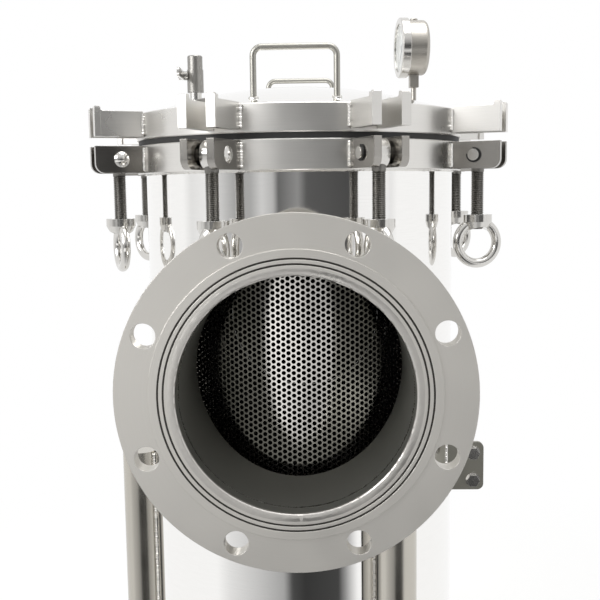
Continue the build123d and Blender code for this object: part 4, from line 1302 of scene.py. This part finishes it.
@dataclass
class Gauge:
    """The pressure gauge on the cover.

    Attributes:
        palette: The finishes.
        turn: How far the gauge is turned on its stem, in degrees.
        sweep: Angle of the scale, in degrees.
        first: Angle of the scale's start from straight up, anticlockwise, in degrees.
        numbers: What the scale counts up to.
        tick_radius: Radius of the scale's outer edge.
        number_radius: Radius of the numbers' middles.
        number_size: Height of the number type.
        ink_height: How far the print stands off the dial.
        long_tick: Length and width of a tick at a number.
        short_tick: Length and width of a tick between numbers.
        arc_width: Width of the arc over the ticks.
        arc_steps: Steps along that arc.
    """

    palette: Palette
    turn: float = 5.0
    sweep: float = 270.0
    first: float = 135.0
    numbers: int = 10
    tick_radius: float = 24.6 * MM
    number_radius: float = 17.6 * MM
    number_size: float = 4.8 * MM
    ink_height: float = 0.08 * MM
    long_tick: tuple[float, float] = (4.0 * MM, 0.75 * MM)
    short_tick: tuple[float, float] = (2.2 * MM, 0.35 * MM)
    arc_width: float = 0.5 * MM
    arc_steps: int = 90

    def face(self) -> Matrix:
        """The place of the dial's printed face.

        Its +X is the reader's right, its +Y is up and its +Z points at the reader.

        Returns:
            The matrix.
        """
        bezel_low, bezel_high = node_box("gauge_bezel")
        centre = Vector((box_centre("gauge_stem").x, 0.0, (bezel_low.z + bezel_high.z) / 2))
        dial_low, _ = node_box("gauge_dial")
        turn = Matrix.Rotation(math.radians(self.turn), 4, "Z")
        right = turn @ Vector((0, -1, 0))
        normal = turn @ Vector((-1, 0, 0))
        radius = (node_box("gauge_dial")[1].z - dial_low.z) / 2
        lean = radius * math.sin(math.radians(self.turn))
        front = (centre.x - dial_low.x - lean) / math.cos(math.radians(self.turn))
        place = Matrix((right, Vector((0, 0, 1)), normal)).transposed().to_4x4()
        place.translation = centre + normal * front
        return place

    def around(self, share: float) -> Vector:
        """The direction on the dial at a share of the scale, with its up along +Y."""
        angle = math.radians(90 + self.first - self.sweep * share)
        return Vector((math.cos(angle), math.sin(angle), 0))

    def scale(self) -> None:
        """Prints the ticks and the arc of the scale."""
        place = self.face()
        draft = Draft()
        divisions = self.numbers * 5
        for index in range(divisions + 1):
            length, width = self.short_tick if index % 5 else self.long_tick
            way = self.around(index / divisions)
            across = Vector((-way.y, way.x, 0)) * width / 2
            outer = way * self.tick_radius
            inner = way * (self.tick_radius - length)
            lift = Vector((0, 0, self.ink_height))
            bottom = [inner - across, outer - across, outer + across, inner + across]
            top = [point + lift for point in bottom]
            draft.grid(
                [[place @ point for point in bottom], [place @ point for point in top]],
                close_columns=True,
            )
            draft.cap([place @ point for point in top])
        rows = []
        for radius in (self.tick_radius, self.tick_radius + self.arc_width):
            row = []
            for step in range(self.arc_steps + 1):
                way = self.around(step / self.arc_steps) * radius
                row.append(place @ Vector((way.x, way.y, self.ink_height)))
            rows.append(row)
        draft.grid(rows)
        add_piece("dial_scale", draft, Body.COVER, self.palette.ink, smooth=False)

    def print_numbers(self) -> None:
        """Prints the even numbers round the dial."""
        place = self.face()
        for number in range(0, self.numbers + 1, 2):
            curve = bpy.data.curves.new(f"dial_number_{number}", "FONT")
            curve.body = str(number)
            curve.size = self.number_size
            curve.extrude = self.ink_height
            curve.align_x = "CENTER"
            curve.align_y = "CENTER"
            text = bpy.data.objects.new(f"dial_text_{number}", curve)
            bpy.context.scene.collection.objects.link(text)
            bpy.context.view_layer.update()
            graph = bpy.context.evaluated_depsgraph_get()
            data = bpy.data.meshes.new_from_object(text.evaluated_get(graph))
            bpy.data.objects.remove(text)
            way = self.around(number / self.numbers) * self.number_radius
            data.transform(place @ Matrix.Translation(way))
            piece = bpy.data.objects.new(f"dial_number_{number}", data)
            bpy.context.scene.collection.objects.link(piece)
            data.materials.clear()
            data.materials.append(self.palette.ink)
            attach(piece, Body.COVER.value)
            LOG.info("printed the number %d", number)

    def build(self) -> None:
        """Dresses the gauge and prints its dial."""
        paint("gauge_case", self.palette.case)
        paint("gauge_bezel", self.palette.fastener)
        paint("gauge_stem", self.palette.case)
        paint("gauge_plug", self.palette.case)
        paint("gauge_dial", self.palette.dial)
        paint("gauge_pointer", self.palette.ink)
        paint("gauge_window", self.palette.glass)
        self.scale()
        self.print_numbers()


@dataclass
class Vent:
    """The small ball valve on the cover.

    Attributes:
        palette: The finishes.
    """

    palette: Palette

    def build(self) -> None:
        """Dresses the valve."""
        for node in ("vent_body", "vent_cap"):
            paint(node, self.palette.cast)
        for node in ("vent_nipple", "vent_ball", "vent_lever", "lever_nut"):
            paint(node, self.palette.fastener)


@dataclass
class Basket:
    """The strainer basket, whose wall is punched all over.

    Attributes:
        palette: The finishes.
        wall: Thickness of the sheet.
        pitch: Distance between the middles of neighbouring holes.
        hole_radius: Radius of a hole.
        margin: Plain sheet left along the top and bottom edges.
        sides: Points round a hole.
        slope: Angle of the basket's rim from level, in degrees.
        sheets: Number of pieces that the wall is drawn in.
    """

    palette: Palette
    wall: float = 2 * MM
    pitch: float = 6 * MM
    hole_radius: float = 2.35 * MM
    margin: float = 8 * MM
    sides: int = 12
    slope: float = 38.4
    sheets: int = 4

    def top_plane(self) -> tuple[Vector, Vector]:
        """The plane that cuts off the top of the wall.

        Returns:
            A point on the plane and its normal, upwards.
        """
        angle = math.radians(self.slope)
        normal = Vector((0, math.sin(angle), math.cos(angle)))
        high = node_box("basket_wall")[1]
        low_y = node_box("basket_wall")[0].y
        return Vector((0, low_y, high.z)), normal

    def sheet(self, number: int, columns: int, rows: int) -> Draft:
        """Draws one part of the outer surface of the wall, hole by hole.

        Args:
            number: Which part, from 0.
            columns: Columns of holes round the whole wall.
            rows: Rows of holes up the highest side.

        Returns:
            The drawn surface.
        """
        low, high = node_box("basket_wall")
        radius = high.x
        corner = self.pitch / math.sqrt(3)
        angle_step = math.tau / columns
        point, normal = self.top_plane()
        draft = Draft()
        first = number * columns // self.sheets
        last = (number + 1) * columns // self.sheets

        def wrap(along: float, up: float) -> Vector:
            """The place on the wall of a spot on the flat sheet."""
            turn = along / (self.pitch * math.sqrt(3) / 2) * angle_step
            return Vector((radius * math.sin(turn), -radius * math.cos(turn), up))

        for column in range(first, last):
            along = column * self.pitch * math.sqrt(3) / 2
            for row in range(-1, rows + 1):
                up = low.z + self.margin + (row + 0.5 * (column % 2)) * self.pitch
                middle = wrap(along, up)
                above = (middle - point).dot(normal)
                if above > self.pitch:
                    continue
                outline = []
                hole = []
                for side in range(self.sides):
                    turn = math.tau * side / self.sides
                    edge = corner if side % 2 == 0 else self.pitch / 2
                    outline.append(
                        wrap(along + edge * math.cos(turn), up + edge * math.sin(turn))
                    )
                    hole.append(
                        wrap(
                            along + self.hole_radius * math.cos(turn),
                            up + self.hole_radius * math.sin(turn),
                        )
                    )
                if above > -self.margin or up - low.z < self.margin * 0.9:
                    draft.grid([outline, [middle] * self.sides], close_columns=True)
                else:
                    draft.grid([outline, hole], close_columns=True)
        return draft

    def punch_wall(self) -> None:
        """Builds the punched wall, in place of the CAD one with its few large holes."""
        low, high = node_box("basket_wall")
        radius = high.x
        columns = round(math.tau * radius / (self.pitch * math.sqrt(3) / 2) / 8) * 8
        rows = int((high.z - low.z) / self.pitch) + 2
        point, normal = self.top_plane()
        for number in range(self.sheets):
            draft = self.sheet(number, columns, rows)
            data = bpy.data.meshes.new(f"punched_wall_{number + 1}")
            data.from_pydata([tuple(p) for p in draft.points], [], draft.faces)
            cut = bmesh.new()
            cut.from_mesh(data)
            bmesh.ops.remove_doubles(cut, verts=cut.verts, dist=1e-6)
            bmesh.ops.dissolve_degenerate(cut, edges=cut.edges, dist=1e-7)
            for place, way in ((point, normal), (Vector((0, 0, low.z)), Vector((0, 0, -1)))):
                bmesh.ops.bisect_plane(
                    cut,
                    geom=cut.verts[:] + cut.edges[:] + cut.faces[:],
                    plane_co=place,
                    plane_no=way,
                    clear_outer=True,
                )
            bmesh.ops.recalc_face_normals(cut, faces=cut.faces)
            outward = sum(
                (face.normal.dot(face.calc_center_median()) for face in cut.faces), 0.0
            )
            if outward < 0:
                bmesh.ops.reverse_faces(cut, faces=cut.faces)
            cut.to_mesh(data)
            cut.free()
            data.polygons.foreach_set("use_smooth", [True] * len(data.polygons))
            piece = bpy.data.objects.new(f"punched_wall_{number + 1}", data)
            bpy.context.scene.collection.objects.link(piece)
            thick = piece.modifiers.new("sheet", "SOLIDIFY")
            thick.thickness = self.wall
            thick.offset = -1.0
            graph = bpy.context.evaluated_depsgraph_get()
            solid = bpy.data.meshes.new_from_object(piece.evaluated_get(graph))
            piece.modifiers.clear()
            piece.data = solid
            solid.set_sharp_from_angle(angle=math.radians(40))
            solid.materials.clear()
            solid.materials.append(self.palette.perforated)
            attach(piece, Body.BASKET.value)
            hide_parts("basket_wall")
            LOG.info("punched wall part %d with %d faces", number + 1, len(solid.polygons))

    def build(self) -> None:
        """Dresses the basket and punches its wall."""
        for node in ("basket_rim", "basket_handle"):
            paint(node, self.palette.satin)
        paint("basket_floor", self.palette.perforated)
        paint("basket_wall", self.palette.perforated)
        self.punch_wall()


@dataclass(frozen=True)
class Softbox:
    """One soft lamp.

    Attributes:
        name: Name of the lamp.
        place: Where it hangs.
        aim: What it points at.
        width: Width of its face.
        height: Height of its face.
        power: Power in watts.
    """

    name: str
    place: tuple[float, float, float]
    aim: tuple[float, float, float]
    width: float
    height: float
    power: float

    def build(self) -> None:
        """Hangs the lamp."""
        lamp = bpy.data.lights.new(self.name, "AREA")
        lamp.shape = "RECTANGLE"
        lamp.size = self.width
        lamp.size_y = self.height
        lamp.energy = self.power
        item = bpy.data.objects.new(self.name, lamp)
        item.location = self.place
        way = Vector(self.aim) - Vector(self.place)
        item.rotation_euler = way.to_track_quat("-Z", "Y").to_euler()
        bpy.context.scene.collection.objects.link(item)


@dataclass
class Studio:
    """The floor, the rear card and the light.

    Attributes:
        floor_half: Half the width of the floor.
        shadow_reach: Distance from the strainer at which the floor has faded to plain white.
        light_level: Brightness of the surroundings as a light.
        card_inset: How far the black card stands inside the rear nozzle's end.
        card_margin: How much smaller its radius is than the nozzle's outer radius.
        ground_edge: Elevations in degrees between which the dark floor turns to the room.
    """

    floor_half: float = 12.0
    shadow_reach: float = 1.3
    light_level: float = 0.75
    card_inset: float = 4 * MM
    card_margin: float = 2.2 * MM
    ground_edge: tuple[float, float] = (-13.0, -8.0)

    # Brightness of the room as polished metal sees it, by azimuth from the front in degrees.
    # White walls stand at the sides and behind, and the dark end of the room is in front, with a
    # doorway, a bench and the wall beside it.
    room = (
        (-180.0, 1.0),
        (-92.0, 1.0),
        (-84.0, 0.82),
        (-70.0, 0.9),
        (-46.0, 0.4),
        (-34.0, 0.42),
        (-26.0, 0.66),
        (-18.0, 0.5),
        (-14.0, 0.14),
        (-8.0, 0.2),
        (0.0, 0.28),
        (6.0, 0.1),
        (38.0, 0.07),
        (42.0, 0.95),
        (64.0, 1.0),
        (70.0, 0.86),
        (76.0, 1.0),
    )
    # The same for the dark floor in front of the strainer.
    ground = (
        (-180.0, 1.0),
        (-68.0, 1.0),
        (-56.0, 0.8),
        (-34.0, 0.6),
        (-14.0, 0.4),
        (-8.0, 0.07),
        (2.0, 0.04),
        (27.0, 0.06),
        (32.0, 0.3),
        (42.0, 1.0),
        (180.0, 1.0),
    )
    # How much of that contrast shows, by elevation in degrees. The ceiling is white.
    contrast = ((-90.0, 0.2), (-50.0, 0.6), (-26.0, 1.0), (4.0, 1.0), (14.0, 0.6), (35.0, 0.15))

    @staticmethod
    def stand(name: str, draft: Draft, material: Material) -> bpy.types.Object:
        """Puts a piece of the studio in the scene.

        Args:
            name: Name of the piece.
            draft: The drawn mesh.
            material: Its material.

        Returns:
            The piece.
        """
        item = bpy.data.objects.new(name, draft.mesh(name, smooth=False))
        bpy.context.scene.collection.objects.link(item)
        item.data.materials.append(material)
        return item

    def floor(self) -> None:
        """Lays the pale floor, which fades to white away from the strainer."""
        draft = Draft()
        half = self.floor_half
        corners = [(-half, -half), (half, -half), (half, half), (-half, half)]
        draft.cap([Vector((x, y, 0)) for x, y in corners])
        made, tree = new_material("pale_floor_paint")
        matt = add_node(tree, "ShaderNodeBsdfDiffuse", None, {"Color": linear("#F6F6F4")})
        white = add_node(tree, "ShaderNodeEmission", None, {"Color": linear("#FFFFFF")})
        point = add_node(tree, "ShaderNodeNewGeometry").outputs["Position"]
        away = add_node(tree, "ShaderNodeVectorMath", {"operation": "LENGTH"}, {0: point})
        limits = {
            "Value": away.outputs["Value"],
            "From Min": self.shadow_reach * 0.4,
            "From Max": self.shadow_reach,
            "To Min": 0.55,
            "To Max": 1.0,
        }
        smooth = {"interpolation_type": "SMOOTHSTEP"}
        fade = add_node(tree, "ShaderNodeMapRange", smooth, limits).outputs[0]
        seen = add_node(tree, "ShaderNodeLightPath").outputs["Is Camera Ray"]
        end_mixed(tree, calc(tree, "MULTIPLY", seen, fade), matt, white)
        self.stand("studio_floor", draft, made).visible_glossy = False

    def card(self) -> None:
        """Stands a round black card in the mouth of the rear nozzle, so no light comes in there.

        Its back is clear, so that the nozzle looks open from behind.
        """
        high = node_box("rear_nozzle")[1]
        axis = Matrix.Translation((0, high.y - self.card_inset, nozzle_axis_z()))
        turn = axis @ Matrix.Rotation(math.pi / 2, 4, "X")
        draft = Draft()
        draft.cap([turn @ point for point in round_path(high.x - self.card_margin, 0, 5 * MM)])
        made, tree = new_material("black_card")
        behind = add_node(tree, "ShaderNodeNewGeometry").outputs["Backfacing"]
        black = add_node(tree, "ShaderNodeBsdfDiffuse", None, {"Color": linear("#0A0A0A")})
        end_mixed(tree, behind, black, add_node(tree, "ShaderNodeBsdfTransparent"))
        self.stand("rear_card", draft, made)

    @staticmethod
    def ramp(
        tree: Tree,
        angle: Socket,
        limit: float,
        stops: Sequence[tuple[float, float]],
    ) -> Socket:
        """Adds a grey ramp over an angle.

        Args:
            tree: The world's node tree.
            angle: The angle, in radians.
            limit: Its largest value in degrees. Its least value is the same below 0.
            stops: Angle in degrees and grey value of each stop, in order.

        Returns:
            The grey.
        """
        most = math.radians(limit)
        values = {"Value": angle, "From Min": -most, "From Max": most}
        share = add_node(tree, "ShaderNodeMapRange", None, values).outputs[0]
        node = add_node(tree, "ShaderNodeValToRGB", None, {0: share})
        elements = node.color_ramp.elements
        while len(elements) > 1:
            elements.remove(elements[-1])
        for index, (degrees, grey) in enumerate(stops):
            place = (degrees + limit) / (2 * limit)
            element = elements[0] if index == 0 else elements.new(place)
            element.position = place
            element.color = (grey, grey, grey, 1.0)
        return node.outputs[0]

    def world(self) -> None:
        """Surrounds the strainer with the white studio and its dark end."""
        world = bpy.data.worlds.new("studio")
        bpy.context.scene.world = world
        world.use_nodes = True
        tree = world.node_tree
        tree.nodes.clear()
        way = add_node(tree, "ShaderNodeTexCoord").outputs["Generated"]
        split = add_node(tree, "ShaderNodeSeparateXYZ", None, {0: way})
        back = calc(tree, "MULTIPLY", split.outputs["Y"], -1.0)
        azimuth = calc(tree, "ARCTAN2", split.outputs["X"], back)
        elevation = calc(tree, "ARCSINE", split.outputs["Z"])
        room = self.ramp(tree, azimuth, 180.0, self.room)
        ground = self.ramp(tree, azimuth, 180.0, self.ground)
        depth = self.ramp(tree, elevation, 90.0, self.contrast)
        low, high = (math.radians(angle) for angle in self.ground_edge)
        limits = {"Value": elevation, "From Min": low, "From Max": high}
        above_ground = add_node(tree, "ShaderNodeMapRange", None, limits).outputs[0]
        white = (1.0, 1.0, 1.0, 1.0)
        seen = blend(tree, depth, white, blend(tree, above_ground, ground, room))
        path = add_node(tree, "ShaderNodeLightPath")
        camera = path.outputs["Is Camera Ray"]
        shown = {"Color": blend(tree, camera, seen, white)}
        backdrop = add_node(tree, "ShaderNodeBackground", None, shown)
        level = {"Color": white, "Strength": self.light_level}
        light = add_node(tree, "ShaderNodeBackground", None, level)
        looked_at = calc(tree, "MAXIMUM", camera, path.outputs["Is Glossy Ray"])
        share = calc(tree, "MAXIMUM", looked_at, path.outputs["Is Transmission Ray"])
        end_mixed(tree, share, light, backdrop, "ShaderNodeOutputWorld")

    def lamps(self) -> None:
        """Hangs the softboxes."""
        middle = (0.0, 0.0, 0.56)
        for box in (
            Softbox("low_front_softbox", (-0.33, -2.1, 0.2), middle, 0.8, 0.5, 0.4),
            Softbox("low_wide_softbox", (0.0, -2.2, 0.2), middle, 4.0, 0.5, 5.6),
            Softbox("upper_front_softbox", (-1.2, -1.3, 1.5), middle, 1.0, 0.8, 8.5),
            Softbox("left_softbox", (-1.9, -1.3, 1.7), middle, 1.2, 1.2, 18.0),
            Softbox("top_softbox", (0.3, -0.2, 2.6), middle, 1.6, 1.6, 26.0),
        ):
            box.build()

    def build(self) -> None:
        """Sets up the studio."""
        self.floor()
        self.card()
        self.world()
        self.lamps()


@dataclass(frozen=True)
class PhotoCamera:
    """The camera that took the photograph, found from the places of the flange and the rings.

    Attributes:
        place: Where it stands.
        pitch: How far it looks down, in degrees.
        yaw: How far it is turned to the right, in degrees.
        roll: How far it is tilted clockwise, in degrees.
        focal: Focal length in pixels of a 600 pixel wide picture.
        picture: Width of the picture in pixels.
        sensor: Width of the sensor in millimetres.
    """

    place: tuple[float, float, float] = (0.02227, -1.10741, 0.74475)
    pitch: float = 6.763
    yaw: float = -1.207
    roll: float = -0.746
    focal: float = 930.3
    picture: float = 600.0
    sensor: float = 36.0

    def build(self) -> None:
        """Sets up the camera."""
        pitch, yaw, roll = (math.radians(a) for a in (self.pitch, self.yaw, self.roll))
        ahead = Vector(
            (
                math.sin(yaw) * math.cos(pitch),
                math.cos(yaw) * math.cos(pitch),
                -math.sin(pitch),
            )
        )
        right = Vector((math.cos(yaw), -math.sin(yaw), 0.0))
        up = right.cross(ahead)
        tilted_right = right * math.cos(roll) + up * math.sin(roll)
        tilted_up = up * math.cos(roll) - right * math.sin(roll)
        data = bpy.data.cameras.new("photo_camera")
        data.sensor_width = self.sensor
        data.lens = self.focal / self.picture * self.sensor
        data.clip_start = 0.01
        data.clip_end = 100.0
        item = bpy.data.objects.new("photo_camera", data)
        turn = Matrix((tilted_right, tilted_up, -ahead)).transposed().to_4x4()
        turn.translation = Vector(self.place)
        item.matrix_world = turn
        bpy.context.scene.collection.objects.link(item)
        bpy.context.scene.camera = item


def main() -> None:
    """Builds the looks, the studio and the camera."""
    logging.basicConfig(level=logging.INFO)
    bpy.context.scene.view_settings.view_transform = "Standard"
    palette = Palette()
    assemblies = (
        Vessel(palette),
        FlangedNozzle(palette, side=-1),
        FlangedNozzle(palette, side=1),
        Closure(palette),
        Cover(palette),
        Gauge(palette),
        Vent(palette),
        Basket(palette),
    )
    for assembly in assemblies:
        assembly.build()
        LOG.info("finished %s", type(assembly).__name__)
    Studio().build()
    PhotoCamera().build()


if __name__ == "__main__":
    main()
